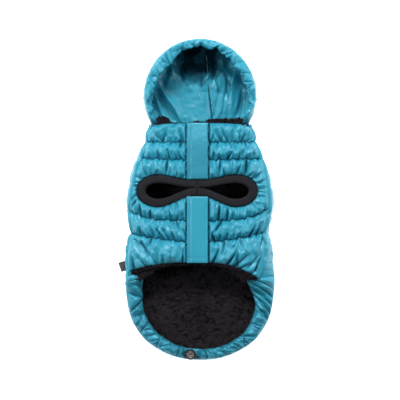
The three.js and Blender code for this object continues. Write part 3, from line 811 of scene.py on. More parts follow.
def lobe_at(u, inset):
    """The middle height and half width of a leg hole's lobe at a distance u from the coat's middle."""
    k = LEGS
    middle = mix(k["waist_y"], k["lobe_y"], smooth(u / k["lobe"]))
    start = k["tip"] if inset > 0 else 8
    full = k["lobe_half"] - inset
    round_end = np.sqrt(np.clip(1 - ((u - k["lobe"]) / (k["reach"] - inset - k["lobe"])) ** 2, 0, 1))
    swell = mix(k["waist_half"] - inset, full, smooth((u - start) / (k["lobe"] - start)))
    return middle, np.where(u < k["lobe"], swell, full * round_end)


def lobe_loop(side, inset, count):
    """One lobe's outline: from the waist along its top, round its end and back along its bottom."""
    k = LEGS
    start = k["tip"] if inset > 0 else SEAM_GAP / 2
    turn = np.linspace(0, 2 * math.pi, count, endpoint=False)
    u = mix(start, k["reach"] - inset, (1 - np.cos(turn)) / 2)
    middle, half = lobe_at(u, inset)
    y = np.where(turn <= math.pi, middle + half, middle - half)
    return np.stack([k["middle"] + side * u, y], -1)


def hole_outline(inset, count=160):
    left = lobe_loop(-1, inset, count)
    right = lobe_loop(1, inset, count)
    return np.concatenate([left, right[::-1]])


def to_line(points, line):
    """The nearest point of a closed line to each point, and how far it is."""
    a = line
    b = np.roll(line, -1, 0)
    along = b - a
    t = np.einsum("nkj,kj->nk", points[:, None] - a[None], along) / np.maximum((along**2).sum(1), 1e-9)
    foot = a[None] + np.clip(t, 0, 1)[..., None] * along[None]
    gap = np.linalg.norm(points[:, None] - foot, axis=-1)
    best = gap.argmin(1)
    return foot[np.arange(len(points)), best], gap[np.arange(len(points)), best]


def inside(points, line):
    """Whether each point is inside a closed line, by counting the edges above it."""
    x, y = points[:, 0, None], points[:, 1, None]
    a, b = line[None], np.roll(line, -1, 0)[None]
    spans = (a[..., 0] > x) != (b[..., 0] > x)
    rise = (b[..., 0] - a[..., 0]) + 1e-12
    height = a[..., 1] + (x - a[..., 0]) * (b[..., 1] - a[..., 1]) / rise
    return (spans & (height > y)).sum(1) % 2 == 1


# The fronts


def seam_wave(s, side, line):
    """How far the gathers pull a quilting line up or down along it: sines of unlike lengths, faded at its
    ends."""
    phase = 1.7 * line + (0.9 if side < 0 else 0)
    ends = smooth(s * 6) * smooth((1 - s) * 8)
    waves = sum(high * np.sin(turns * s + shift * phase) for high, turns, shift in SEAM_WAVES)
    return ends * waves


def belly_grid(side, columns, steps, edge=SEAM_GAP, waves=True):
    """The fronts' grid: columns from the closing line out to the side seam, rows between the quilting
    lines."""
    s = np.linspace(0, 1, columns)[:, None]
    out = {"x": [], "y": [], "row": [], "up": [], "down": []}
    column = "left" if side < 0 else "right"
    last = len(steps) - 1
    for r, n in enumerate(steps):
        u = np.linspace(0, 1, n + 1)[None, (0 if r == 0 else 1) :]

        def line(k, s=s):
            at_side = SEAM_LINES[column][k]
            middle = SEAM_LINES["middle"][k]
            wave = seam_wave(s, side, k) if waves and 0 < k <= last else 0
            return middle + (at_side - middle) * s ** SEAM_LINES["bow"][k] + wave

        top, bottom = line(r), line(r + 1)
        y = mix(top, bottom, u)
        side_y = mix(SEAM_LINES[column][r], SEAM_LINES[column][r + 1], u)
        out_x = side * (half_width(side_y) - seam_inset(side_y, side) - edge)
        x = mix(CLOSING_X + side * edge, out_x, s)
        out["x"].append(x)
        out["y"].append(y)
        out["row"].append(np.full_like(y, r))
        out["up"].append(top - y)
        out["down"].append(y - bottom)
    return {k: np.concatenate(v, 1) for k, v in out.items()} | {"s": s}


def row_creases(side, rng):
    """The gathers of every row: spread evenly along its two seams, each moved, leaned and shortened by
    chance."""
    found = []
    column = "left" if side < 0 else "right"
    for r in range(len(GATHERS["count"])):
        count = int(GATHERS["count"][r])
        reach, lean, spread, depth = (GATHERS[k][r] for k in ("reach", "lean", "spread", "depth"))
        for from_top in (True, False):
            k = r if from_top else r + 1
            far = r + 1 if from_top else r
            if k == 0:
                continue
            for i in range(count):
                s = (i + 0.5 + rng.uniform(-0.45, 0.45)) / count * 0.84 + 0.14
                y0, y1 = (
                    SEAM_LINES["middle"][j]
                    + (SEAM_LINES[column][j] - SEAM_LINES["middle"][j]) * s ** SEAM_LINES["bow"][j]
                    for j in (k, far)
                )
                x0 = side * s * (half_width(y0) - 6)
                share = reach * rng.uniform(0.3, 1.0)
                slide = side * (lean if from_top else -lean) * -1 + rng.normal() * spread
                width = rng.uniform(3.6, 8.5)
                deep = depth * rng.uniform(0.5, 1.2)
                tilt = rng.uniform(-0.5, 0.5)
                found.append((x0, y0, x0 + slide * share, mix(y0, y1, share), width, deep, tilt))
    return found


def hole_creases(side, rng):
    """Short creases that fan out of the leg hole's edge, square to it but for some chance."""
    loop = lobe_loop(side, 0, 30)
    centre = np.array([LEGS["middle"] + side * 48, 12.0])
    found = []
    for p in loop[2:-2]:
        if abs(p[0] - LEGS["middle"]) < 16:
            continue
        way = (p - centre) * [0.5, 1.0]
        way = way / np.hypot(*way)
        turn = rng.uniform(-0.5, 0.5)
        way = np.array([way[0] - turn * way[1], way[1] + turn * way[0]])
        length = rng.uniform(7, 17)
        end = p + way * length
        shape = (rng.uniform(4, 6.5), rng.uniform(0.4, 0.85), rng.uniform(-0.3, 0.3))
        found.append((p[0], p[1], end[0], end[1], *shape))
    return found


def side_lift(y, side, puff):
    """How far the side seam stands out: the front's rows run on round the side, between the seams that
    reach it."""
    lines = np.array(SIDE_SEAMS["left" if side < 0 else "right"])
    to_seam = np.abs(np.asarray(y)[..., None] - lines).min(-1)
    ends = smooth((np.asarray(y) + 124) / 14)
    return puff * (0.12 + 0.88 * round_up(to_seam, 9)) * ends


def front_unevenness(x, y, side):
    """How far flat facets push the cloth out or in: broad ones, and fine ones on them."""
    broad, fine = BROAD_FACETS, FINE_FACETS
    high = broad["high"] * (facets(x, y, broad["across"], broad["along"], 45 + side) - 0.5)
    return high + fine["high"] * (facets(x, y, fine["across"], fine["along"], 55 + side, fine["warp"]) - 0.5)


def front_lift(side, grid, puff, radius):
    """The quilted relief: a quarter round up from every seam, broken by gathers, creases and facets, and
    held down beside the closing flap. Also how deep in a crease each point is, which darkens its colour as painted
    shade."""
    x, y, row = grid["x"], grid["y"], grid["row"].astype(int)
    rng = np.random.default_rng(11 if side < 0 else 12)
    _, to_hole = to_line(np.stack([x.ravel(), y.ravel()], 1), hole_outline(-SEAM_GAP, 48))
    to_hole = to_hole.reshape(x.shape)
    to_side = np.abs(x[-1:] - x)
    to_row = np.minimum(grid["up"], grid["down"])
    to_flap = (FLAP_LEFT - x if side < 0 else x - FLAP_RIGHT) - 0.4
    full = mix(SWELL["least"], SWELL["most"], noise(on_plane(x, y), SWELL["size"], 5 + side))
    form = round_up(to_row, radius) * round_up(to_hole, radius * 0.8)
    creases = row_creases(side, rng) + hole_creases(side, rng)
    creases += [line + (PLACED_LEAN,) for line in lines_of(MAIN_CREASES) if line[0] * side > 0]
    cut = crease_depth(x, y, creases)
    share = grid["up"] / np.maximum(grid["up"] + grid["down"], 1)
    ridges = gathers(np.abs(x), share, GATHERS["across"][row], 15 + side)
    firm = smooth(1.5 * noise(on_plane(x, y), FIRM_PLACES["size"], 25 + side) - 0.25)
    strength = mix(FIRM_PLACES["least"], 1.0, firm) * GATHERS["firm"][row]
    small = billow(x, y, SMALL_PILLOWS["across"], SMALL_PILLOWS["along"], 35 + side)
    near = 1 - smooth(to_row / NEAR_SEAM)
    gathered = 1 - (1 - ridges) * strength * mix(0.42, 0.8, near)
    pillowed = 1 - (1 - small) * mix(0.03, 0.2, near)
    fullness = form * (1 - cut) * (gathered * pillowed)
    broken = front_unevenness(x, y, side) * np.sqrt(form) * (1 - 0.7 * cut)
    lift = np.maximum(puff * full * fullness + broken, LEAST_LIFT)
    at_side = side_lift(y, side, SIDE_PUFF)
    lift = mix(np.minimum(at_side, 0.2 + lift), lift, smooth(to_side / SIDE_BLEND))
    held = FLAP_HOLD["foot"] + FLAP_HOLD["rise"] * round_up(to_flap - FLAP_HOLD["start"], FLAP_HOLD["radius"])
    lift = np.where(to_flap > 0, np.minimum(lift, held), FLAP_RELIEF)
    # Painted shade: crease valleys, gather lines, the seams' feet and a strip beside the flap's edge darken the
    # colour
    valley = np.clip((cut - 0.38) / 0.4, 0, 1)
    line = np.clip(1 - ridges / 0.38, 0, 1) * strength * mix(0.35, 0.9, near)
    seam = np.clip(1.1 - form / 0.6, 0, 1)
    beside = (1 - smooth((to_flap - 0.9) / (1.2 if side < 0 else 2.2))) * (to_flap > 0)
    fold = np.maximum.reduce([valley, line, seam, beside]) * smooth(to_side / 4 + 0.3)
    return lift, np.where(to_flap > 0, fold, 0.1)


def snap_hole(grid, keep_points, outline):
    """Moves the grid points nearest the leg hole onto its outline, so that the cut edge is smooth."""
    x, y = grid["x"], grid["y"]
    points = np.stack([x.ravel(), y.ravel()], 1)
    kept = keep_points.ravel()
    shape = x.shape
    index = kept.reshape(shape)
    near = np.zeros(shape, bool)
    near[1:] |= index[1:] & ~index[:-1]
    near[:-1] |= index[:-1] & ~index[1:]
    near[:, 1:] |= index[:, 1:] & ~index[:, :-1]
    near[:, :-1] |= index[:, :-1] & ~index[:, 1:]
    which = near.ravel()
    foot, _ = to_line(points[which], outline)
    points[which] = foot
    return points[:, 0].reshape(shape), points[:, 1].reshape(shape)


def leg_cut(grid):
    """Which quads of a belly grid stay outside the leg holes, and the grid with its cut edge on their
    outline."""
    outline = hole_outline(-SEAM_GAP, 80)
    points = np.stack([grid["x"].ravel(), grid["y"].ravel()], 1)
    outside = ~inside(points, outline).reshape(grid["x"].shape)
    keep = outside[:-1, :-1] & outside[1:, :-1] & outside[:-1, 1:] & outside[1:, 1:]
    corner = np.zeros(outside.shape, bool)
    corner[:-1, :-1] |= keep
    corner[1:, :-1] |= keep
    corner[:-1, 1:] |= keep
    corner[1:, 1:] |= keep
    x, y = snap_hole(grid, corner, outline)
    return keep, x, y


def oriented(side, *grids):
    """Grids whose normals point up: on one side of the coat their first direction is turned round."""
    return [g if side < 0 else g[::-1] for g in grids]


def build_front(side, settings):
    name = "front_left" if side < 0 else "front_right"
    grid = belly_grid(side, 108, (30, 28, 96, 34, 44))
    keep, x, y = leg_cut(grid)
    lift, fold = front_lift(side, grid, settings.puff / MM, settings.puff_radius / MM)
    outer = on_belly(x, y, lift)
    inner = on_belly(x, y, np.full_like(x, -SHELL))
    outer, inner, keep, fold = oriented(side, outer, inner, keep, fold)
    piece = wall(name + "_quilted", outer, inner, "shell", name, keep, {"fold": fold})
    return piece


# The back


def back_lift(points):
    """The back's relief: its quilting lines run across the coat, and rows stand full between them. Also how
    deep in a seam each point is, as painted shade for its colour, and how far its creases cut it."""
    x, y, z = (points[..., i] for i in range(3))
    to_seam = np.abs(y[..., None] - BACK_LINES).min(-1)
    rng = np.random.default_rng(31)
    creases = []
    for line in BACK_LINES[:7]:
        for side in (-1, 1):
            for _ in range(5):
                x0 = side * half_width(line) * rng.uniform(0.4, 1.02)
                way = rng.choice([-1, 1])
                length = rng.uniform(7, 17)
                slide = rng.uniform(-5, 5)
                width = rng.uniform(5, 8)
                tilt = rng.uniform(-0.4, 0.4)
                creases.append((x0, line, x0 + slide, line + way * length, width, rng.uniform(0.3, 0.7), tilt))
    creases += [line + (PLACED_LEAN,) for line in lines_of(BACK_CREASES)]
    cut = crease_depth(x, y, creases)
    form = round_up(to_seam, BACK_SEAM["radius"]) * (1 - cut)
    pillows = billow(z + 0.3 * x, y, BACK_PILLOWS["across"], BACK_PILLOWS["along"], 24)
    lift = -BACK_SEAM["depth"] * (1 - form) - BACK_PILLOWS["high"] * (1 - pillows) * smooth(z / 8)
    # Painted shade: near the seams the colour is darkened
    return lift, np.clip(1 - form / 0.5, 0, 1) * 0.8, cut


def tray_grid(t, floor, corner, shoulder):
    st = stations(t)
    d, z = body_section(st, floor, corner, shoulder)
    return place(st, d, z)


def build_back(settings):
    t = np.linspace(0, 1, 401)
    grid = tray_grid(t, 12, 20, 10)
    out = normals(grid)
    out[:, 0] = [0, 0, -1]
    out[[0, -1], :, 1] = 0
    lift, fold, cut = back_lift(grid)
    st = stations(t)
    off = np.linalg.norm(grid[..., :2] - st["foot"][:, None], axis=-1)
    above = grid[..., 2] > st["side_z"][:, None]
    strip = smooth(off / np.maximum(seam_distance(st), 1)[:, None]) * above
    seam_y = grid[:, -1, 1]
    stand = np.where(t < 0.5, side_lift(seam_y, -1, SIDE_PUFF), side_lift(seam_y, 1, SIDE_PUFF))
    from_y, to_y = (np.where(grid[..., 0] < 0, *pair) for pair in zip(UNDER_HEM["left"], UNDER_HEM["right"]))
    covered = smooth((from_y - grid[..., 1]) / (from_y - to_y)) * above
    lift = mix(lift, (stand[:, None] + BACK_SEAM["strip"] * strip) * (1 - 0.6 * cut), strip) * (1 - covered)
    # Painted shade: on the side strip the creases darken the colour
    fold = mix(fold, np.clip((cut - 0.3) / 0.4, 0, 1), strip)
    outer = grid + out * lift[..., None]
    inner = grid - out * SHELL
    outer[[0, -1], :, 1] += SEAM_GAP
    inner[[0, -1], :, 1] += SEAM_GAP
    outer[..., 2] = np.maximum(outer[..., 2], 0)
    inner[..., 2] = np.maximum(inner[..., 2], outer[..., 2] + 0.6)
    piece = wall("back_quilted", outer, inner, "shell", "back_panel", values={"fold": fold}, mirrored=True)
    return piece


# Fleece


def pile(points, seed, high):
    """Curly pile: folded noise that stands in rounded clumps with deep narrow pits, and finer curls on it."""
    warp = np.stack([noise(points + 31 * k, 11, seed + k) for k in range(3)], -1) - 0.5
    p = points + 13 * warp
    clump = 1 - np.abs(2 * noise(p * [0.8, 1.5, 1], 6.5, seed + 5) - 1)
    clump = clump * mix(0.72, 1.05, noise(points, 5, seed + 8))
    curl = 1 - np.abs(2 * noise(p, 3.1, seed + 6) - 1)
    fuzz = noise(points, 1.3, seed + 7)
    return high * (0.8 * (1 - clump**5) + 0.2 * curl + 0.16 * fuzz - 0.45)


def rings(across, up, angles):
    """Unit rings round each of many centres, in the plane of two directions."""
    return across[:, None, None] * np.cos(angles)[:, None] + up[:, None, None] * np.sin(angles)[:, None]


def tufts(name, at, up, seed, length, finish="fleece"):
    """Small curled locks as one mesh: each a three-sided tube that leans, then curls over by part of a
    turn."""
    rng = np.random.default_rng(seed)
    n = len(at)
    steps = 5
    side = rng.normal(size=(n, 3))
    side -= (side * up).sum(1, keepdims=True) * up
    side /= np.linalg.norm(side, axis=1, keepdims=True)
    cross = np.cross(up, side)
    v = np.linspace(0, 1, steps)[None, :, None]
    turn = rng.uniform(2.4, 4.6, (n, 1, 1)) * v
    r = rng.uniform(0.3, 0.55, (n, 1, 1)) * length
    rise = r * (1 - np.cos(turn)) * 0.75 - 0.5
    middle = at[:, None] + side[:, None] * (r * np.sin(turn)) + up[:, None] * rise
    middle = middle + cross[:, None] * (r * 0.5 * v * rng.normal(size=(n, 1, 1)))
    a = np.arange(3) * 2 * math.pi / 3
    thick = (0.14 * length * (1 - 0.75 * v**2))[..., None]
    points = middle[:, :, None] + rings(cross, up, a) * thick
    base = (np.arange(n) * steps * 3)[:, None, None]
    i = np.arange(steps - 1)[None, :, None] * 3
    j = np.arange(3)[None, None]
    k = (j + 1) % 3
    quads = np.stack([base + i + j, base + i + k, base + i + 3 + k, base + i + 3 + j], -1).reshape(-1, 4)
    caps = [(base[:, 0] + np.array([[2, 1, 0]])), (base[:, 0] + (steps - 1) * 3 + np.array([[0, 1, 2]]))]
    return facing_out(make_piece(name, points, [quads, *caps], finish), points, [quads, *caps])


def scatter(grid, up, mask, count, seed):
    """Chosen places on a grid with their normals, without repeats."""
    rng = np.random.default_rng(seed)
    which = np.flatnonzero(mask.ravel())
    pick = rng.choice(which, min(count, len(which)), replace=False)
    at = grid.reshape(-1, 3)[pick] + rng.uniform(-0.4, 0.4, (len(pick), 3))
    return at, up.reshape(-1, 3)[pick]


def build_back_lining(settings):
    t = np.linspace(0, 1, 301)
    grid = tray_grid(t, 44, 16, 1)[:, :-1]
    out = normals(grid)
    out[:, 0] = [0, 0, -1]
    depth = SHELL + SEAM_GAP + LINING_GAP
    under = grid - out * depth
    top = grid - out * (depth + BACK_FLEECE)
    high = settings.pile / MM
    relief = pile(top, 41, high)
    top = top - out * relief[..., None]
    # Painted shade: the pile's pits are darkened in colour
    shade = {"fold": np.clip(0.5 - relief / high, 0, 1)}
    piece = wall("back_fleece", under, top, "fleece", "back_lining", values=shade, mirrored=True)
    inside_legs = np.abs(top[..., 0]) < LEGS["reach"]
    seen = (top[..., 2] < 30) & inside_legs & (top[..., 1] > -212) & (top[..., 1] < -88)
    legs = (np.abs(top[..., 1] - 10) < 20) & inside_legs
    at, up = scatter(top, -out, seen | legs, 4000, 42)
    tufts("back_fleece_curls", at, up, 43, 3.0)
    return piece


def build_belly_lining(side, settings):
    name = "belly_lining_left" if side < 0 else "belly_lining_right"
    grid = belly_grid(side, 44, (8, 8, 26, 8, 14), edge=SEAM_GAP + 1.5, waves=False)
    keep, x, y = leg_cut(grid)
    tuck = 4.0 * smooth((np.abs(x) - 72) / 5) * np.exp(-grid["down"] / 5) * (grid["row"] == 4) * (side > 0)
    y = y + tuck
    arch_x, arch_y = x[:, -1], y[:, -1]
    ragged = noise(on_plane(arch_x, 0), 4.5, 68)
    past = read(FLEECE_EDGE, "past", arch_x) * mix(0.7, 1.2, ragged) + 1.2 * ragged
    v = np.linspace(0, 1, 13)[None, 1:]
    more_x = np.broadcast_to(arch_x[:, None], (len(arch_x), 12))
    more_y = arch_y[:, None] - past[:, None] * v
    top_lift = np.full(x.shape, -SHELL - SEAM_GAP - LINING_GAP)
    thin = np.sqrt(np.clip(1 - v**2, 0, 1))
    more_top = -SHELL - SEAM_GAP - 1.6 + 2.6 * thin * smooth(past[:, None] / 6)
    more_low = -SHELL - SEAM_GAP - FLEECE + 0 * more_top + 1.4 * (1 - thin)
    x = np.concatenate([x, more_x], 1)
    y = np.concatenate([y, more_y], 1)
    upper = on_belly(x, y, np.concatenate([top_lift, more_top], 1))
    lower = on_belly(x, y, np.concatenate([top_lift - FLEECE, more_low], 1))
    relief = pile(upper, 61, settings.pile / MM * 0.8)
    relief[:, : grid["x"].shape[1]] = 0
    upper = upper + np.stack([0 * relief, -0.5 * relief, relief], -1)
    under = pile(lower, 63, settings.pile / MM * 0.6)
    lower[..., 2] -= np.clip(under, 0, None)
    keep = np.concatenate([keep, np.ones((keep.shape[0], 12), bool)], 1)
    upper, lower, keep = oriented(side, upper, lower, keep)
    piece = wall(name.replace("lining", "fleece"), upper, lower, "fleece", name, keep)
    edge = np.zeros(upper.shape[:2], bool)
    edge[:, -11:] = True
    line = on_belly(arch_x, arch_y - 0.6, np.full(len(arch_x), 0.6))
    rng = np.random.default_rng(64 + side)
    pick = rng.choice(np.flatnonzero(np.abs(arch_x + 12) > 30), 260)
    fringe = line[pick] + rng.uniform([-1.2, -1.5, -0.5], [1.2, 1.2, 1.2], (260, 3))
    fringe_up = np.broadcast_to([0.0, -0.35, 0.94], fringe.shape)
    tufts(name.replace("lining", "fleece") + "_fringe", fringe, fringe_up, 67 + side, 4.6)
    at, up = scatter(upper, np.broadcast_to([0, -0.5, 0.86], upper.shape), edge, 700, 65 + side)
    tufts(name.replace("lining", "fleece") + "_curls", at, up, 66 + side, 4.2)
    return piece


def build_neck_lining(settings):
    low = HOOD_CLOTH + 5.6
    u = np.linspace(0, 1, 171)
    v = np.linspace(0, 1, 17)[None]
    x = mix(NECK_FLEECE["at"][0] + 1, NECK_FLEECE["at"][-1] - 1, u)[:, None] + 0 * v
    edge = read(NECK_FLEECE, "edge", x[:, 0])[:, None]
    y = mix(NECK_Y + SEAM_GAP, edge, v)
    share = np.clip(1 - (69.7 - np.abs(x)) / HOOD["corner"], 0, 1)
    rise = HOOD["side_z"] * (1 - np.sqrt(1 - share**2))
    top = np.stack([x, y, low + rise + FLEECE * np.sqrt(np.clip(1 - (0.85 * v) ** 2, 0, 1)) + 0 * x], -1)
    relief = pile(top, 71, settings.pile / MM * 0.7)
    top[..., 2] += relief
    top[..., 1] += 0.8 * relief * v
    under = np.stack([x, y, low + rise], -1)
    piece = wall("neck_fleece", top, under, "fleece", "neck_lining")
    at, up = scatter(top, np.broadcast_to([0, 0.3, 0.95], top.shape), np.ones(top.shape[:2], bool), 420, 72)
    tufts("neck_fleece_curls", at, up, 73, 3.6)
    return piece


# Rib bindings


def build_binding(side, settings):
    """A rib band round one leg hole: a flat rounded profile carried round the lobe, with fine ribs across
    it."""
    name = "leg_binding_left" if side < 0 else "leg_binding_right"
    count = 720
    outer = lobe_loop(side, 0, count)
    inner = lobe_loop(side, LEGS["band"], count)
    step = np.hypot(*(np.roll(outer, -1, 0) - outer).T)
    run = np.concatenate([[0], np.cumsum(step)[:-1]])
    k = np.linspace(0, 1, 15)[None]
    high = 2.9 * (1 - np.abs(2 * k - 1) ** 3.2) ** 0.6
    rib = np.cos(2 * math.pi * run / (settings.rib_pitch / MM))[:, None]
    high = high + 0.16 * rib * (np.abs(2 * k - 1) < 0.95)
    stretch = noise(on_plane(*outer.T), 14, 81)[:, None] - 0.5
    high = high + 0.7 * stretch * (1 - np.abs(2 * k - 1) ** 2)
    px = mix(outer[:, :1], inner[:, :1], k)
    py = mix(outer[:, 1:], inner[:, 1:], k)
    top = on_belly(px, py, high)
    low_k = np.linspace(1, 0, 7)[None]
    lx = mix(outer[:, :1], inner[:, :1], low_k)
    ly = mix(outer[:, 1:], inner[:, 1:], low_k)
    low = on_belly(lx, ly, np.full(lx.shape, -2.6))
    loops = np.concatenate([top, low], 1)
    data = {"run": np.repeat(run[:, None], loops.shape[1], 1)}
    piece = hoop(name + "_rib", loops, "rib", name, closed=True, values=data)
    return piece


# Closing flap


def build_flap(name, from_y, to_y, settings):
    """A smooth flap that follows the belly: pressed thin along its stitched border, rolled at its edges,
    and rippled along its length. Its side edges, and the upper flap more towards its foot, are darkened as painted
    shade."""
    s = np.linspace(0, 1, 41)[:, None]
    u = np.linspace(0, 1, 81)[None]
    x = mix(FLAP_LEFT, FLAP_RIGHT, s) + 0 * u
    y = mix(from_y, to_y, u) + 0 * s
    f = FLAP
    edge = np.minimum(x - FLAP_LEFT, FLAP_RIGHT - x)
    ends = np.minimum(from_y - y, y - to_y)
    thick = mix(f["border"], f["body"], smooth((x - FLAP_LEFT - f["border_width"]) / 1.1))
    thick = thick * mix(0.55, 1, round_up(edge, 1.6)) * mix(0.7, 1, round_up(ends, 1.5))
    thick = thick + f["roll"] * np.exp(-(((edge - f["roll_at"]) / f["roll_width"]) ** 2))
    ripple = 0.5 * (noise(on_plane(x * 0.5, y), 16, 91) - 0.5) + 0.16 * (noise(on_plane(x, y), 4, 92) - 0.5)
    groove = 0.35 * np.exp(-(((x - FLAP_LEFT - 1.6) / 0.6) ** 2)) * (x < FLAP_LEFT + 5.6)
    end_fold = 0.5 * np.exp(-(((y - to_y - 7.5) / 0.8) ** 2)) * (to_y < 0)
    lift = FLAP_BASE + thick + ripple * round_up(edge, 3) - groove - end_fold
    top = on_belly(x, y, lift)
    bottom = on_belly(x, y, np.full_like(x, FLAP_BASE))
    # Painted shade: the upper flap is darkened, more towards its foot, and so are both flaps' side edges
    shade = 0.34 if to_y > 0 else 0.0
    fold = np.maximum(0.25 * (1 - round_up(edge, 1.4)), shade * mix(0.7, 1.2, smooth((from_y - y) / 60)))
    piece = wall(name + "_cloth", top[:, ::-1], bottom[:, ::-1], "shell", name, values={"fold": fold[:, ::-1]})
    return piece


# The gathered edges


def gather_relief(run, angle, places):
    """Creases across a gathered casing: each a sharp valley at its place, slanted, shallower to its ends."""
    total = np.zeros(np.broadcast(run, angle).shape)
    for at, slant, width, depth, middle in places:
        off = np.abs(run - at - slant * (angle - math.pi / 2))
        fade = 1 - 0.55 * np.clip(np.abs(angle - middle) / 1.7, 0, 1) ** 2
        total += (depth * fade * (1 - round_up(off, width))) ** 5
    return np.clip(total ** (1 / 5), 0, 1)


def gather_places(length, spacing, rng):
    """Where a casing's creases lie along it: place, slant, width, depth, and the angle at which each is
    deepest."""
    places = []
    at = rng.uniform(1, spacing)
    while at < length - 2:
        slant, width = rng.uniform(-10, 10), rng.uniform(3.5, 9.0)
        places.append((at, slant, width, rng.uniform(0.35, 1.0), rng.uniform(0.7, 2.6)))
        at += spacing * rng.uniform(0.35, 1.7)
    return places


def casing(st, start, z, width, rise, thick, relief):
    """A turned-in casing: an arch over each station from its outer foot, in over the top, and back
    underneath."""
    angle = np.linspace(0, CASING_TURN, CASING_STEPS)[None]
    width = width[:, None]
    rise = rise[:, None]
    reach = (width / 2 + relief * np.sin(angle)) * np.cos(angle)
    over = place(st, start[:, None] + width / 2 - reach, z[:, None] + (rise + relief) * np.sin(angle))
    back = angle[:, ::-2]
    reach = (width / 2 - thick) * np.cos(back)
    under = place(st, start[:, None] + width / 2 - reach, z[:, None] + (rise - thick) * np.sin(back))
    return np.concatenate([over, under], 1)


def build_hem(settings):
    t = np.linspace(RIM.place(HEM_LEFT_Y), 1 - RIM.place(HEM_RIGHT_Y), 700)
    st = stations(t)
    share = np.linspace(0, 1, len(t))
    foot = st["foot"]
    to_lock = np.hypot(foot[:, 0] - LOCK["x"], np.maximum(foot[:, 1] - REAR_Y - 20, 0))
    dip = 6.5 * (1 - smooth((to_lock - 8) / 11))
    run = (share * np.hypot(*np.diff(foot, axis=0).T).sum())[:, None]
    rng = np.random.default_rng(51)
    length = float(run[-1, 0])
    places = gather_places(length, 10.5, rng)
    places = [found for found in places if found[0] < length - 64]
    places += [(length - at, slant, width, depth, 1.6) for at, slant, width, depth in HEM_END_FOLDS]
    angle = np.linspace(0, CASING_TURN, CASING_STEPS)[None]
    cut = gather_relief(run, angle, places)
    broken = facets(run, 13 * angle + 0 * run, 10, 15, 53) - 0.5
    relief = 1.6 - 5.2 * cut + 5.0 * broken
    ends = round_up(share * length, 8) * round_up((1 - share) * length, 24)
    relief = relief * ends[:, None] * (1 - dip / HEM_RISE)[:, None] * mix(0.4, 1, smooth(angle / 0.7))
    width = read(HEM_WIDTH, "width", share) * mix(np.where(share < 0.5, 0.4, 0.8), 1, ends)
    corner = HEM_CORNER_RISE * (1 - smooth((HEM_RIGHT_Y - foot[:, 1]) / 26)) * (share > 0.5)
    rise = (HEM_RISE - dip + corner) * mix(0.5, 1, ends)
    lift = SEAM_GAP + 0.3 + 1.68 * (1 - smooth(share * 14) * smooth((1 - share) * 14))
    inset = np.minimum(seam_distance(st), 0.4)
    z = st["side_z"] + (crown(foot[:, 1]) - st["side_z"]) * np.sqrt(1 - (1 - inset / st["wide"]) ** 3)
    loops = casing(st, inset, z + lift, width, rise, SHELL, relief)
    fold = np.zeros(loops.shape[:2])
    # Painted shade: the hem is darkened all over but at its ends, and more in its creases
    plain = HEM_SHADE * smooth(share * length / 30) * smooth((1 - share) * length / 50)
    fold[:, : angle.shape[1]] = mix(plain[:, None], 1, np.clip((cut - 0.4) / 0.4, 0, 1))
    piece = hoop("hem_gathered", loops, "shell", "hem", values={"fold": fold})
    return piece


# The hood


def hood_span():
    return math.asin((NECK_Y + SEAM_GAP - HOOD["centre_y"]) / HOOD["radius"])


def hood_top():
    end = hood_span()
    return (math.pi - end - math.radians(HOOD["seam_angle"])) / (math.pi - 2 * end)


def hood_stations(t):
    """Places round the hood's outline, a circle cut by the neck seam, and the way in to the hood's own
    seam."""
    end = hood_span()
    angle = mix(math.pi - end, end, t)
    foot = np.stack([HOOD["radius"] * np.cos(angle), HOOD["centre_y"] + HOOD["radius"] * np.sin(angle)], 1)
    top = hood_top()
    share = np.where(t < top, t / top, (1 - t) / (1 - top))
    side = np.where(t < top, -1, 1)
    seam_x = mix(HOOD["foot_x"], HOOD["top_x"], share) + side * 0.02
    seam_y = mix(NECK_Y + SEAM_GAP, HOOD["top_y"], share)
    way = np.stack([seam_x - foot[:, 0], seam_y - foot[:, 1]], 1)
    wide = np.hypot(*way.T)
    top_z = HOOD["foot_z"] + HOOD["rise_z"] * np.sin(math.pi * np.clip(t, 0, 1)) ** 0.8
    return {"foot": foot, "way": way / wide[:, None], "wide": wide, "top_z": top_z, "angle": angle}


def hood_section(st, floor, corner, wall_steps):
    """The hood across each station: flat floor from its seam, an elliptic corner, then a wall that leans
    in."""
    wide = st["wide"][:, None]
    top_z = st["top_z"][:, None]
    u = np.linspace(0, 1, floor + 1)[None]
    a = np.linspace(0, math.pi / 2, corner + 1)[None, 1:]
    v = np.linspace(0, 1, wall_steps + 1)[None, 1:]
    corner, side_z = HOOD["corner"], HOOD["side_z"]
    d = [mix(wide, corner, u), corner * (1 - np.sin(a)) + 0 * wide, HOOD["lean"] * v**2 + 0 * wide]
    z = [0 * wide * u, side_z * (1 - np.cos(a)) + 0 * wide, mix(side_z, top_z, v)]
    return np.concatenate(d, 1), np.concatenate(z, 1)


def hood_folds(x, y):
    """The listed folds: each a ridge or trough with a sharp crest, highest in its middle and steeper
    on one side. Returns their height, and how deep in a trough each point is."""
    total = np.zeros_like(x)
    deep = np.zeros_like(x)
    for x0, y0, x1, y1, width, height in lines_of(HOOD_FOLDS):
        off, t, side = line_distance(x, y, x0, y0, x1, y1)
        bend = np.where(side > 0, 0.9, 2.2)
        shape = np.clip(1 - off / (width * bend), 0, 1) * np.sin(math.pi * np.clip(0.1 + 0.9 * t, 0, 1))
        total += height * shape
        if height < 0:
            deep = np.maximum(deep, shape)
    return total, deep


def hood_length():
    return HOOD["radius"] * (math.pi - 2 * hood_span())


def rim_pleats():
    """The pleats that run in from the hood's gathered edge: the place round it in millimetres, the slant,
    the width, the depth, and how far in each reaches."""
    rng = np.random.default_rng(PLEATS["seed"])
    pleats = []
    for i in range(PLEATS["count"]):
        at = hood_length() * (i + 0.5 + rng.uniform(-0.42, 0.42)) / PLEATS["count"]
        slant, width = rng.uniform(-14, 14), rng.uniform(4, 8)
        pleats.append((at, slant, width, rng.uniform(0.45, 1.0), rng.uniform(24, 58)))
    return pleats


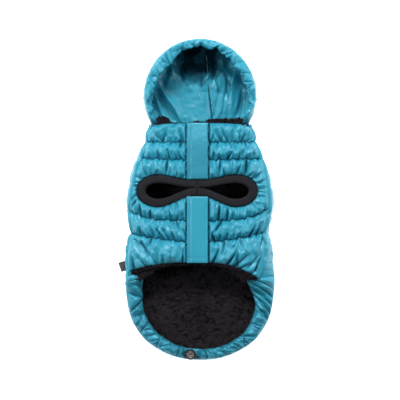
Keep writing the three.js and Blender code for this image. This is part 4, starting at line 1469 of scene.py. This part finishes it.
def pleat_depth(run, inward, pleats):
    """How deep the pleats cut: sharp valleys across the way round that fade with the distance in from the
    edge."""
    total = np.zeros(np.broadcast(run, inward).shape)
    for at, slant, width, depth, reach in pleats:
        share = np.clip(inward / reach, 0, 1)
        off = np.abs(run - at - slant * share)
        total += (depth * (1 - share**1.5) * (1 - round_up(off, width * (1 + 0.8 * share)))) ** 4
    return np.clip(total ** (1 / 4), 0, 1)


def build_hood(side, settings):
    name = "hood_left" if side < 0 else "hood_right"
    top = hood_top()
    length = hood_length()
    nudge = 0.03 / length
    t = np.linspace(0, top - nudge, 250) if side < 0 else np.linspace(top + nudge, 1, 210)
    st = hood_stations(t)
    d, z = hood_section(st, 50, 24, 16)
    grid = place(st, d, z)
    out = -normals(grid)
    out[:, 0] = [0, 0, -1]
    x, y = grid[..., 0], grid[..., 1]
    up_wall = np.concatenate([np.zeros(51), np.linspace(0, 1, 41)[1:]])[None] + 0 * x
    inward = np.where(up_wall > 0, (1 - up_wall) * WALL_MM, WALL_MM + d - HOOD["corner"])
    run = (t * length)[:, None] + 0 * x
    on_wall = smooth(up_wall / 0.5)
    pleat = pleat_depth(run, inward, rim_pleats())
    wall_pillows = billow(run, inward, 15, 34, 104)
    turn = 150 * np.arctan2(x - FAN_FOOT[0], y - FAN_FOOT[1])
    c = HOOD_CALM
    calm = 1 - 0.9 * np.exp(-(((x - c["x"]) / c["half_x"]) ** 2) - (((y - c["y"]) / c["half_y"]) ** 2))
    away = np.hypot(x - FAN_FOOT[0], y - FAN_FOOT[1])
    fan = calm * HOOD_FAN["high"] * (facets(turn, away, HOOD_FAN["across"], HOOD_FAN["along"], 121, 8) - 0.5)
    crumple = facets(x, y, HOOD_CRUMPLE["across"], HOOD_CRUMPLE["along"], 131, 12) - 0.5
    high = smooth((y - 148) / 26)
    from_seam = st["wide"][:, None] - d
    folds, trough = hood_folds(x, y)
    lift = HOOD_CLOTH + folds * smooth((d - 8) / 14) + 3.0 * smooth(up_wall / 0.6)
    lift = lift - HOOD_PLEAT * pleat * mix(0.25, 1, on_wall)
    floor_lift = fan * (1 - 0.6 * high) + HOOD_CRUMPLE["high"] * crumple * high + 1.4
    lift = lift + mix(floor_lift, 4.2 * wall_pillows - 1.5, on_wall)
    lift = lift + 0.7 * (noise(grid, 5, 103) - 0.5)
    neck = smooth((y - NECK_Y) / 3)
    lift = HOOD_CLOTH + (lift - HOOD_CLOTH) * smooth(from_seam / 2.5) * neck
    groove = np.exp(-((from_seam / 1.1) ** 2))
    lift = np.maximum(lift - 1.0 * groove, 0.9)
    inner = grid - out * lift[..., None]
    outer_lift = mix(lift - 1.6, 0.25 * lift + 0.2, on_wall)
    outer_lift = np.where(z < 6, np.maximum(outer_lift, 0), outer_lift)
    outer = grid - out * outer_lift[..., None]
    outer[..., 2] = np.maximum(outer[..., 2], 0)
    inner[..., 2] = np.maximum(inner[..., 2], outer[..., 2] + 0.5)
    # Painted shade: the pocket under the top rim is painted dark as the rim's shadow, in patches, and so are the
    # pleats, the wall's creases, the troughs and the groove along the seam; the outside takes only the groove's
    # shade
    patches = smooth((facets(x, y, 12, 17, 151, 8) - 0.25) / 0.4)
    into = y - read(POCKET_EDGE, "foot", x) + 8 * (facets(x, y, 7, 12, 152, 4) - 0.5)
    pocket_shadow = (0.55 * smooth(into / 2.5) + 0.45 * smooth(into / 26)) * mix(0.8, 1.08, patches)
    line = np.clip(1 - wall_pillows / 0.22, 0, 1) * on_wall
    dark = np.maximum(np.clip((pleat - 0.3) / 0.5, 0, 1), np.maximum(0.75 * line, 0.85 * trough))
    fold = np.maximum(np.maximum(dark, pocket_shadow), mix(0.3, 0.8, patches) * groove)
    shades = (0.4 * groove[:, ::-1], fold[:, ::-1])
    piece = wall(name + "_cloth", outer[:, ::-1], inner[:, ::-1], "shell", name, values={"fold": shades})
    return piece


def build_hood_rim(settings):
    t = np.linspace(0.004, 0.996, 600)
    st = hood_stations(t)
    start = np.full(len(t), HOOD["lean"])
    angle = np.linspace(0, CASING_TURN, CASING_STEPS)[None]
    length = hood_length()
    run = (t * length)[:, None]
    pleat = pleat_depth(run + 5 * (angle - math.pi / 2), 0 * angle + 0 * run, rim_pleats())
    rng = np.random.default_rng(111)
    small = gather_relief(run, angle, gather_places(length, 16, rng))
    broken = facets(run, 11 * angle + 0 * run, 10, 15, 114, 9) - 0.5
    relief = 1.6 - 4.2 * pleat - 1.8 * small + 6.0 * broken
    ends = smooth(t * 18) * smooth((1 - t) * 18)
    relief = relief * ends[:, None] * smooth((angle - 0.3) / 0.9)
    wander = facets(run[:, 0], 0 * t, 9, 9, 113) - 0.5
    width = read(RIM_WIDTH, "width", t) + 7 * wander * ends
    loops = casing(st, start, st["top_z"] - 0.2, width, np.full(len(t), RIM_RISE), RIM_CLOTH, relief)
    # Painted shade: the pleats' and gathers' creases are darkened in colour, and so are the rim's two ends at the
    # neck
    dark = np.maximum((pleat - 0.4) / 0.5, (small - 0.6) / 0.5)
    fold = np.zeros(loops.shape[:2])
    fold[:, : angle.shape[1]] = np.clip(np.maximum(dark, 1 - ends[:, None]), 0, 1)
    piece = hoop("hood_rim_gathered", loops, "shell", "hood_rim", values={"fold": fold})
    return piece


# Small pieces


def build_label(settings):
    """A folded ribbon that comes out of the side seam and droops: flat sections carried along its droop."""
    k = LABEL
    seam_x = -(half_width(k["y"]) - seam_inset(k["y"], -1)) - 1
    root = on_belly(np.array(seam_x), np.array(k["y"]), np.array(1.8))
    turn = math.radians(k["turn"])
    out = np.array([-math.cos(turn), -math.sin(turn), 0])
    across = np.array([-out[1], out[0], 0])
    u = np.linspace(0, 1, 31)[:, None]
    middle = root[None] + out[None] * k["out"] * u
    middle[:, 2] -= k["droop"] * u[:, 0] ** 2
    v = np.linspace(-0.5, 0.5, 15)
    belly = 0.5 * np.sin(math.pi * u)
    half = k["thick"] / 2 * (1 - u**8)
    top = middle[:, None] + across * (v * k["long"])[None, :, None]
    top = top + np.array([0, 0, 1.0]) * (k["thick"] / 2 + half + 0.4 * belly * np.cos(v * 9)[None])[..., None]
    low = middle[:, None] + across * (v[::-1] * k["long"])[None, :, None]
    low = low + np.array([0, 0, 1.0]) * (k["thick"] / 2 - half + 0 * v[None])[..., None]
    piece = hoop("label_tab_ribbon", np.concatenate([top, low], 1), "ribbon", "label_tab")
    return piece


def build_lock(settings):
    k = LOCK
    centre = (k["x"], k["y"], k["z"])
    r, h = k["radius"], k["high"]
    body = [(0, 0), (r - 1.4, 0), (r - 0.5, 0.4), (r, 1.3), (r, 2.2), (r - 0.35, 2.5), (r - 0.35, 3.0)]
    body += [(r, 3.3), (r, h - 1.5), (r - 0.4, h - 0.6), (r - 1.3, h), (r - 1.6, h - 0.15), (0, h - 0.15)]
    pieces = [lathe("cord_lock_body", body, centre, "lock", "cord_lock", 96, (24, 0.012))]
    b = k["badge"]
    rings = [(0, 0.1), (b, 0.1), (b, 0.4), (b - 0.3, 0.8), (b - 0.7, 1.0), (b - 1.1, 0.8), (b - 1.4, 0.4)]
    rings += [(b - 2.0, 0.4), (b - 2.3, 0.7), (b - 2.7, 0.85), (b - 3.1, 0.7), (b - 3.4, 0.4), (0, 0.4)]
    top = (k["x"], k["y"], k["z"] + h + SEAM_GAP)
    pieces.append(lathe("cord_lock_disc", rings, top, "badge", "cord_lock_badge", 72))
    u = np.linspace(0, 1, 9)
    left = np.stack([k["x"] - 6.6 - 3.4 * u, k["y"] + 0.8 + 0 * u, 26.0 - 1.2 * u**2], 1)
    right = np.stack([k["x"] + 6.4 + 6 * u, k["y"] - 2.6 - 2.6 * u, 26.2 - 1.4 * u**2], 1)
    pieces.append(tube("hem_cord_left", left, 1.5, "lock"))
    pieces.append(tube("hem_cord_right", right, 1.4, "lock"))
    return pieces


# Stitches


def thread(name, path, lift_normals, pitch, length, finish="thread"):
    """Short stitches along a line of points: each a six-sided bead stretched along the line, all one mesh."""
    step = np.linalg.norm(np.diff(path, axis=0), axis=1)
    run = np.concatenate([[0], np.cumsum(step)])
    at = np.arange(pitch / 2, run[-1], pitch)
    centre = np.stack([np.interp(at, run, path[:, i]) for i in range(3)], 1)
    ahead = np.stack([np.interp(at + 0.3, run, path[:, i]) for i in range(3)], 1)
    behind = np.stack([np.interp(at - 0.3, run, path[:, i]) for i in range(3)], 1)
    way = ahead - behind
    way /= np.linalg.norm(way, axis=1, keepdims=True)
    up = np.stack([np.interp(at, run, lift_normals[:, i]) for i in range(3)], 1)
    side = np.cross(way, up)
    side /= np.linalg.norm(side, axis=1, keepdims=True)
    up = np.cross(side, way)
    v = np.array([-1, -0.55, 0.55, 1])
    thick = np.array([0.12, 0.3, 0.3, 0.12])
    sink = np.array([-0.28, 0.06, 0.06, -0.28])
    a = np.arange(6) * math.pi / 3
    middle = centre[:, None] + way[:, None] * (v * length / 2)[None, :, None] + up[:, None] * sink[None, :, None]
    points = middle[:, :, None] + rings(side, up, a) * thick[None, :, None, None]
    n = len(at)
    base = (np.arange(n) * 24)[:, None, None]
    i = np.arange(3)[None, :, None] * 6
    j = np.arange(6)[None, None]
    k = (j + 1) % 6
    quads = np.stack([base + i + j, base + i + k, base + i + 6 + k, base + i + 6 + j], -1).reshape(-1, 4)
    fans = []
    for start, order in ((0, (0, 1, 2)), (18, (0, 2, 1))):
        for m in range(1, 5):
            tri = np.array([0, m + 1, m]) if start == 0 else np.array([0, m, m + 1])
            fans.append(base[:, 0] + start + tri[None])
    faces = [quads, np.concatenate(fans)]
    return facing_out(make_piece(name, points, faces, finish), points, faces)


def belly_line(x, y, lift):
    """A line on the belly as points with the belly's normals."""
    at = on_belly(x, y, lift)
    up = on_belly(x, y, lift + 1) - at
    return at, up


def build_stitches(settings):
    pieces = []
    n = 120
    for name, y0, y1 in (("upper", 104.5, 29.5), ("lower", 2, -86)):
        y = np.linspace(y0, y1, n)
        for tag, x, thick in (("border", FLAP_LEFT + 1.6, FLAP["border"]), ("inner", FLAP_LEFT + 6.6, FLAP["body"])):
            lift = FLAP_BASE + thick - 0.2
            at, up = belly_line(np.full(n, x), y, np.full(n, lift))
            pieces.append(thread(f"stitches_{name}_{tag}", at, up, 3.1, 2.2))
    x = np.linspace(FLAP_LEFT + 6.5, FLAP_RIGHT - 1.5, 60)
    at, up = belly_line(x, np.full(60, -81.4), np.full(60, FLAP_RELIEF + SEAM_GAP + 2.0))
    pieces.append(thread("stitches_flap_end", at, up, 3.1, 2.2))
    for side in (-1, 1):
        loop = lobe_loop(side, 1.6, 200)
        loop = loop[np.abs(loop[:, 0] - LEGS["middle"]) > 6]
        at, up = belly_line(loop[:, 0], loop[:, 1], np.full(len(loop), 1.9))
        name = "stitches_binding_left" if side < 0 else "stitches_binding_right"
        pieces.append(thread(name, at, up, 2.6, 1.7, "thread_black"))
    return pieces


# Finishes


class Value:
    """A socket that takes part in sums: each operator adds a Math node."""

    def __init__(self, tree, socket):
        self.tree = tree
        self.socket = socket

    def _math(self, operation, a, b=None):
        inputs = {0: a} if b is None else {0: a, 1: b}
        return self.tree.node("ShaderNodeMath", {"operation": operation}, inputs)

    def __add__(self, other):
        return self._math("ADD", self, other)

    def __radd__(self, other):
        return self._math("ADD", other, self)

    def __sub__(self, other):
        return self._math("SUBTRACT", self, other)

    def __rsub__(self, other):
        return self._math("SUBTRACT", other, self)

    def __mul__(self, other):
        return self._math("MULTIPLY", self, other)

    def __rmul__(self, other):
        return self._math("MULTIPLY", other, self)

    def __pow__(self, other):
        return self._math("POWER", self, other)

    def sine(self):
        return self._math("SINE", self)


class Finish:
    """A material's node tree, with its shader."""

    def __init__(self, name):
        self.material = bpy.data.materials.new("coat_" + name)
        self.material.use_nodes = True
        self.nodes = self.material.node_tree.nodes
        self.links = self.material.node_tree.links
        self.shader = self.nodes["Principled BSDF"]

    def node(self, kind, settings=None, inputs=None, output=0):
        """Adds a node, applies its settings, then gives its sockets their values or links."""
        made = self.nodes.new(kind)
        for key, value in (settings or {}).items():
            setattr(made, key, value)
        for key, value in (inputs or {}).items():
            self.put(made.inputs[key], value)
        return Value(self, made.outputs[output])

    def put(self, socket, value):
        if isinstance(value, Value):
            self.links.new(value.socket, socket)
        else:
            socket.default_value = value

    def set(self, **sockets):
        for key, value in sockets.items():
            self.put(self.shader.inputs[key.replace("_", " ")], value)

    def coordinates(self, scale=1.0):
        at = self.node("ShaderNodeTexCoord", output="Object")
        return self.node("ShaderNodeVectorMath", {"operation": "SCALE"}, {0: at, "Scale": scale})

    def noise(self, at, scale, detail=2.0, roughness=0.5):
        return self.node(
            "ShaderNodeTexNoise", None, {"Vector": at, "Scale": scale, "Detail": detail, "Roughness": roughness}
        )

    def axes(self, at):
        """A vector's x and y as values."""
        parts = self.node("ShaderNodeSeparateXYZ", None, {0: at}).socket.node
        return Value(self, parts.outputs["X"]), Value(self, parts.outputs["Y"])

    def attribute(self, name):
        return self.node("ShaderNodeAttribute", {"attribute_name": name}, output="Fac")

    def blend(self, factor, a, b):
        settings = {"data_type": "RGBA", "clamp_factor": True}
        return self.node("ShaderNodeMix", settings, {0: factor, 6: a, 7: b}, output=2)

    def bump(self, height, strength, distance):
        inputs = {"Height": height, "Strength": strength, "Distance": distance}
        self.put(self.shader.inputs["Normal"], self.node("ShaderNodeBump", None, inputs))


def rgba(colour):
    return (colour[0], colour[1], colour[2], 1.0)


def nylon(name, colour, deep, pale, roughness):
    """Shiny woven nylon: slow changes of tone, a fine plain weave and small crinkles. Where the fold attribute is
    high the colour is mixed towards the deep colour as painted shade, and the metalness makes what it reflects dark
    too, as a painted reflection."""
    f = Finish(name)
    at = f.coordinates(1000.0)
    fold = f.attribute("fold")
    slow = f.noise(at, 0.03, 2.0)
    tone = f.blend((slow - 0.35) * 1.6, rgba(colour), rgba(pale))
    # Painted shade: the fold attribute darkens the colour towards the deep shade colour
    f.set(Base_Color=f.blend(fold**1.4 * 0.93, tone, rgba(deep)))
    x, y = f.axes(at)
    weave = (x * 9.0).sine() * (y * 9.0).sine()
    crinkle = f.noise(at, 0.33, 3.0, 0.6)
    streak = f.noise(at, 1.1, 2.0, 0.5)
    f.set(Roughness=roughness + (crinkle - 0.5) * 0.16 + fold**2 * 0.4)
    # Painted reflection: in folds the metalness tints the reflections with the dark shade colour
    f.set(Metallic=fold * 0.75)
    f.bump(crinkle * 0.5 + streak * 0.12 + weave * 0.015, 0.35, 0.0011)
    f.shader.inputs["Specular IOR Level"].default_value = 0.55
    f.shader.inputs["Coat Weight"].default_value = 0.03
    f.shader.inputs["Coat Roughness"].default_value = 0.2


def fleece(name, colour, pale):
    """Black curly pile: matt, a little paler on the tips of its curls, with fine fuzz, and darker in its pits as
    painted shade.
    """
    f = Finish(name)
    at = f.coordinates(1000.0)
    curls = f.noise(at, 0.45, 3.0, 0.6)
    fuzz = f.noise(at, 1.9, 2.0, 0.6)
    pits = f.attribute("fold")
    # Painted shade: the pits' attribute darkens the colour
    tips = (curls * 0.6 + fuzz * 0.5 - 0.2) * 1.7 - pits * 1.8
    f.set(Base_Color=f.blend(tips, rgba(colour), rgba(pale)))
    f.set(Roughness=0.92 + (fuzz - 0.5) * 0.1)
    f.bump(curls * 0.7 + fuzz * 0.4, 0.8, 0.0016)
    f.shader.inputs["Sheen Weight"].default_value = 0.03
    f.shader.inputs["Sheen Roughness"].default_value = 0.6
    f.shader.inputs["Specular IOR Level"].default_value = 0.15


def rib_knit(name, colour, pale, pitch):
    """Black rib knit: fine ribs that follow the band's own length, painted in paler stripes as a highlight, with
    knitted loops and a little lint that vary its tone at random.
    """
    f = Finish(name)
    at = f.coordinates(1000.0)
    run = f.attribute("run")
    ribs = (run * (2 * math.pi / pitch)).sine() * 0.5 + 0.5
    loops = f.noise(at, 1.5, 2.0, 0.6)
    lint = f.noise(at, 0.12, 2.0, 0.5)
    # Painted highlight: the ribs' stripes are paler in colour
    f.set(Base_Color=f.blend(ribs * 0.55 + loops * 0.4 + (lint - 0.5) * 0.6, rgba(colour), rgba(pale)))
    f.set(Roughness=0.84 + (loops - 0.5) * 0.12)
    f.bump(ribs * 0.5 + loops * 0.5, 0.5, 0.0006)
    f.shader.inputs["Sheen Weight"].default_value = 0.03
    f.shader.inputs["Sheen Roughness"].default_value = 0.5
    f.shader.inputs["Specular IOR Level"].default_value = 0.25


def ribbon(name, colour, pale):
    """Woven black ribbon: a close diagonal weave."""
    f = Finish(name)
    at = f.coordinates(1000.0)
    x, y = f.axes(at)
    twill = ((x + y) * 7.5).sine() * 0.5 + 0.5
    fuzz = f.noise(at, 0.9, 2.0)
    f.set(Base_Color=f.blend(twill * 0.6 + fuzz * 0.4, rgba(colour), rgba(pale)))
    f.set(Roughness=0.55 + (fuzz - 0.5) * 0.2)
    f.bump(twill, 0.4, 0.0003)
    f.shader.inputs["Sheen Weight"].default_value = 0.2


def moulded(name, colour, roughness, metallic=0.0):
    """Moulded or plated small parts, with faint handling marks."""
    f = Finish(name)
    at = f.coordinates(1000.0)
    marks = f.noise(at, 0.8, 4.0, 0.7)
    grain = f.noise(at, 4.0, 2.0, 0.5)
    worn = rgba([min(1, c * 1.7 + 0.01) for c in colour])
    f.set(Base_Color=f.blend((marks - 0.4) * 0.8, rgba(colour), worn))
    f.set(Roughness=roughness + (marks - 0.5) * 0.25)
    f.bump(grain * 0.5 + marks * 0.5, 0.25, 0.0002)
    f.shader.inputs["Metallic"].default_value = metallic


def sewing_thread(name, colour):
    """Twisted thread, slightly shiny."""
    f = Finish(name)
    at = f.coordinates(1000.0)
    twist = f.noise(at, 3.0, 2.0)
    f.set(Base_Color=f.blend(twist, rgba(colour), rgba([min(1, c * 1.35) for c in colour])))
    f.set(Roughness=0.45 + (twist - 0.5) * 0.2)
    f.bump(twist, 0.3, 0.0002)


def floor_finish(name, colour):
    """A plain pale surface, lit a little from below as a light table is."""
    f = Finish(name)
    at = f.coordinates(1.0)
    faint = f.noise(at, 6.0, 3.0)
    f.set(Base_Color=f.blend(faint, rgba(colour), rgba([c * 0.985 for c in colour])))
    f.set(Roughness=0.75 + (faint - 0.5) * 0.1)
    f.set(Emission_Color=rgba(colour))
    f.shader.inputs["Emission Strength"].default_value = FLOOR_GLOW


# Settings


class CoatShape(bpy.types.PropertyGroup):
    puff: bpy.props.FloatProperty(
        name="Puff",
        description="How far a quilted row stands out",
        default=0.0105,
        unit="LENGTH",
        min=0,
        max=0.02,
    )
    puff_radius: bpy.props.FloatProperty(
        name="Seam radius",
        description="Distance from a seam at which a row is full",
        default=0.0105,
        unit="LENGTH",
    )
    pile: bpy.props.FloatProperty(
        name="Pile",
        description="How far the fleece's clumps stand up",
        default=0.0046,
        unit="LENGTH",
    )
    rib_pitch: bpy.props.FloatProperty(
        name="Rib pitch",
        description="Distance from one rib of the binding to the next",
        default=0.0017,
        unit="LENGTH",
    )


def colour_property(label, description, default):
    return bpy.props.FloatVectorProperty(
        name=label, description=description, default=default, size=3, subtype="COLOR", min=0, max=1
    )


class CoatColours(bpy.types.PropertyGroup):
    shell: colour_property("Shell", "The nylon's main colour", (0.024, 0.34, 0.48))
    shell_pale: colour_property("Shell, pale", "The nylon where it catches the light", (0.042, 0.4, 0.56))
    # Painted shade: the colour that creases, seams, the hood's pocket and other shaded places are mixed towards,
    # with their reflections
    shell_shade: colour_property("Shell, deep", "The nylon deep in its folds", (0.001, 0.05, 0.088))
    fleece: colour_property("Fleece", "The pile's main colour", (0.0045, 0.0035, 0.0045))
    fleece_pale: colour_property("Fleece, tips", "The tips of the pile", (0.034, 0.028, 0.036))
    rib: colour_property("Rib", "The knitted binding's colour", (0.0085, 0.0085, 0.0115))
    # Painted highlight: the paler colour of the raised ribs; it is also the black stitching's own colour
    rib_pale: colour_property("Rib, raised", "The raised ribs", (0.021, 0.021, 0.027))
    ribbon: colour_property("Label", "The blank label's colour", (0.02, 0.023, 0.027))
    lock: colour_property("Cord lock", "The moulded lock's colour", (0.008, 0.008, 0.009))
    badge: colour_property("Disc", "The plated disc on the lock", (0.2, 0.18, 0.18))
    thread: colour_property("Thread", "The shell's stitching", (0.045, 0.39, 0.58))
    floor: colour_property("Floor", "The surface it lies on", (0.9, 0.9, 0.9))


# Operators


class CoatOperator:
    bl_options = {"REGISTER", "UNDO"}

    def execute(self, context):
        self.build(context.scene.coat_shape, context.scene.coat_colours)
        return {"FINISHED"}


class COAT_OT_finishes(CoatOperator, bpy.types.Operator):
    """Makes the cloths and the other finishes"""

    bl_idname = "coat.finishes"
    bl_label = "Finishes"

    def build(self, shape, colours):
        c = colours
        nylon("shell", c.shell, c.shell_shade, c.shell_pale, 0.4)
        fleece("fleece", c.fleece, c.fleece_pale)
        rib_knit("rib", c.rib, c.rib_pale, shape.rib_pitch / MM)
        ribbon("ribbon", c.ribbon, [v * 2 for v in c.ribbon])
        moulded("lock", c.lock, 0.38)
        moulded("badge", c.badge, 0.32, 0.9)
        sewing_thread("thread", c.thread)
        sewing_thread("thread_black", c.rib_pale)
        floor_finish("floor", c.floor)


class COAT_OT_fronts(CoatOperator, bpy.types.Operator):
    """Makes the two quilted belly panels, gathered along their seams"""

    bl_idname = "coat.fronts"
    bl_label = "Fronts"

    def build(self, shape, colours):
        for side in (-1, 1):
            build_front(side, shape)


class COAT_OT_back(CoatOperator, bpy.types.Operator):
    """Makes the quilted back and sides"""

    bl_idname = "coat.back"
    bl_label = "Back"

    def build(self, shape, colours):
        build_back(shape)


class COAT_OT_fleece(CoatOperator, bpy.types.Operator):
    """Makes the pile linings of the back, belly and neck"""

    bl_idname = "coat.fleece"
    bl_label = "Fleece linings"

    def build(self, shape, colours):
        build_back_lining(shape)
        for side in (-1, 1):
            build_belly_lining(side, shape)
        build_neck_lining(shape)


class COAT_OT_bindings(CoatOperator, bpy.types.Operator):
    """Makes the rib bands round the leg holes"""

    bl_idname = "coat.bindings"
    bl_label = "Leg bindings"

    def build(self, shape, colours):
        for side in (-1, 1):
            build_binding(side, shape)


class COAT_OT_flap(CoatOperator, bpy.types.Operator):
    """Makes the two lengths of the closing flap"""

    bl_idname = "coat.flap"
    bl_label = "Closing flap"

    def build(self, shape, colours):
        top = LEGS["waist_y"] + LEGS["waist_half"] + 2 * SEAM_GAP
        foot = LEGS["waist_y"] - LEGS["waist_half"] - 2 * SEAM_GAP
        build_flap("flap_upper", SEAM_LINES["middle"][0], top, shape)
        build_flap("flap_lower", foot, SEAM_LINES["middle"][-1] - 0.6, shape)


class COAT_OT_hem(CoatOperator, bpy.types.Operator):
    """Makes the gathered hem"""

    bl_idname = "coat.hem"
    bl_label = "Hem"

    def build(self, shape, colours):
        build_hem(shape)


class COAT_OT_hood(CoatOperator, bpy.types.Operator):
    """Makes the two halves of the hood and its gathered edge"""

    bl_idname = "coat.hood"
    bl_label = "Hood"

    def build(self, shape, colours):
        for side in (-1, 1):
            build_hood(side, shape)
        build_hood_rim(shape)


class COAT_OT_trims(CoatOperator, bpy.types.Operator):
    """Makes the blank label, the cord lock and the stitching"""

    bl_idname = "coat.trims"
    bl_label = "Trims"

    def build(self, shape, colours):
        build_label(shape)
        build_lock(shape)
        build_stitches(shape)


def soft_box(name, place_at, aim, size, power):
    lamp = bpy.data.lights.new(name, "AREA")
    lamp.shape = "RECTANGLE"
    lamp.size, lamp.size_y = size
    lamp.energy = power
    thing = bpy.data.objects.new(name, lamp)
    thing.location = place_at
    look_at(thing, aim)
    bpy.context.scene.collection.objects.link(thing)


def look_at(thing, aim):
    way = Vector(aim) - thing.location
    thing.rotation_euler = way.to_track_quat("-Z", "Y").to_euler()


class COAT_OT_stage(CoatOperator, bpy.types.Operator):
    """Makes the floor, the studio lights and the camera that looks straight down"""

    bl_idname = "coat.stage"
    bl_label = "Stage"

    def build(self, shape, colours):
        mesh = bpy.data.meshes.new("floor")
        far, low = 6.0, -0.0005
        corners = [(-far, -far, low), (far, -far, low), (far, far, low), (-far, far, low)]
        mesh.from_pydata(corners, [], [(0, 1, 2, 3)])
        mesh.materials.append(bpy.data.materials["coat_floor"])
        floor = bpy.data.objects.new("floor", mesh)
        bpy.context.scene.collection.objects.link(floor)
        soft_box("key", (-0.15, 1.15, 1.25), (0, 0, 0), (0.7, 0.3), 23)
        soft_box("left", (-1.25, 0.0, 0.85), (0, 0, 0), (0.25, 0.9), 8)
        soft_box("right", (1.25, 0.35, 0.85), (0, 0, 0), (0.25, 0.9), 8)
        world = bpy.data.worlds.new("studio")
        world.use_nodes = True
        sky = world.node_tree.nodes["Background"].inputs
        sky["Color"].default_value = (0.93, 0.96, 1.0, 1)
        sky["Strength"].default_value = 0.13
        bpy.context.scene.world = world
        lens = bpy.data.cameras.new("camera")
        lens.sensor_width = SENSOR_MM
        lens.sensor_fit = "HORIZONTAL"
        lens.lens = SENSOR_MM * LENS_AWAY / (FRAME_MM * MM)
        camera = bpy.data.objects.new("camera", lens)
        camera.location = (0, -0.0014, LENS_AWAY + 0.035)
        bpy.context.scene.collection.objects.link(camera)
        bpy.context.scene.camera = camera
        bpy.context.scene.view_settings.view_transform = "Standard"


STEPS = (
    "finishes",
    "stage",
    "back",
    "fronts",
    "fleece",
    "bindings",
    "flap",
    "hem",
    "hood",
    "trims",
)


class COAT_PT_panel(bpy.types.Panel):
    """Sizes, colours and the steps that build the coat"""

    bl_label = "Dog winter coat"
    bl_idname = "COAT_PT_panel"
    bl_space_type = "VIEW_3D"
    bl_region_type = "UI"
    bl_category = "Coat"

    def draw(self, context):
        for group in (context.scene.coat_shape, context.scene.coat_colours):
            for name in group.__annotations__:
                self.layout.prop(group, name)
        for step in STEPS:
            self.layout.operator("coat." + step)


CLASSES = (
    CoatShape,
    CoatColours,
    COAT_OT_finishes,
    COAT_OT_fronts,
    COAT_OT_back,
    COAT_OT_fleece,
    COAT_OT_bindings,
    COAT_OT_flap,
    COAT_OT_hem,
    COAT_OT_hood,
    COAT_OT_trims,
    COAT_OT_stage,
    COAT_PT_panel,
)


def register():
    for made in CLASSES:
        bpy.utils.register_class(made)
    bpy.types.Scene.coat_shape = bpy.props.PointerProperty(type=CoatShape)
    bpy.types.Scene.coat_colours = bpy.props.PointerProperty(type=CoatColours)


def unregister():
    del bpy.types.Scene.coat_colours
    del bpy.types.Scene.coat_shape
    for made in reversed(CLASSES):
        bpy.utils.unregister_class(made)


def main():
    register()
    for step in STEPS:
        getattr(bpy.ops.coat, step)()


if __name__ == "__main__":
    main()
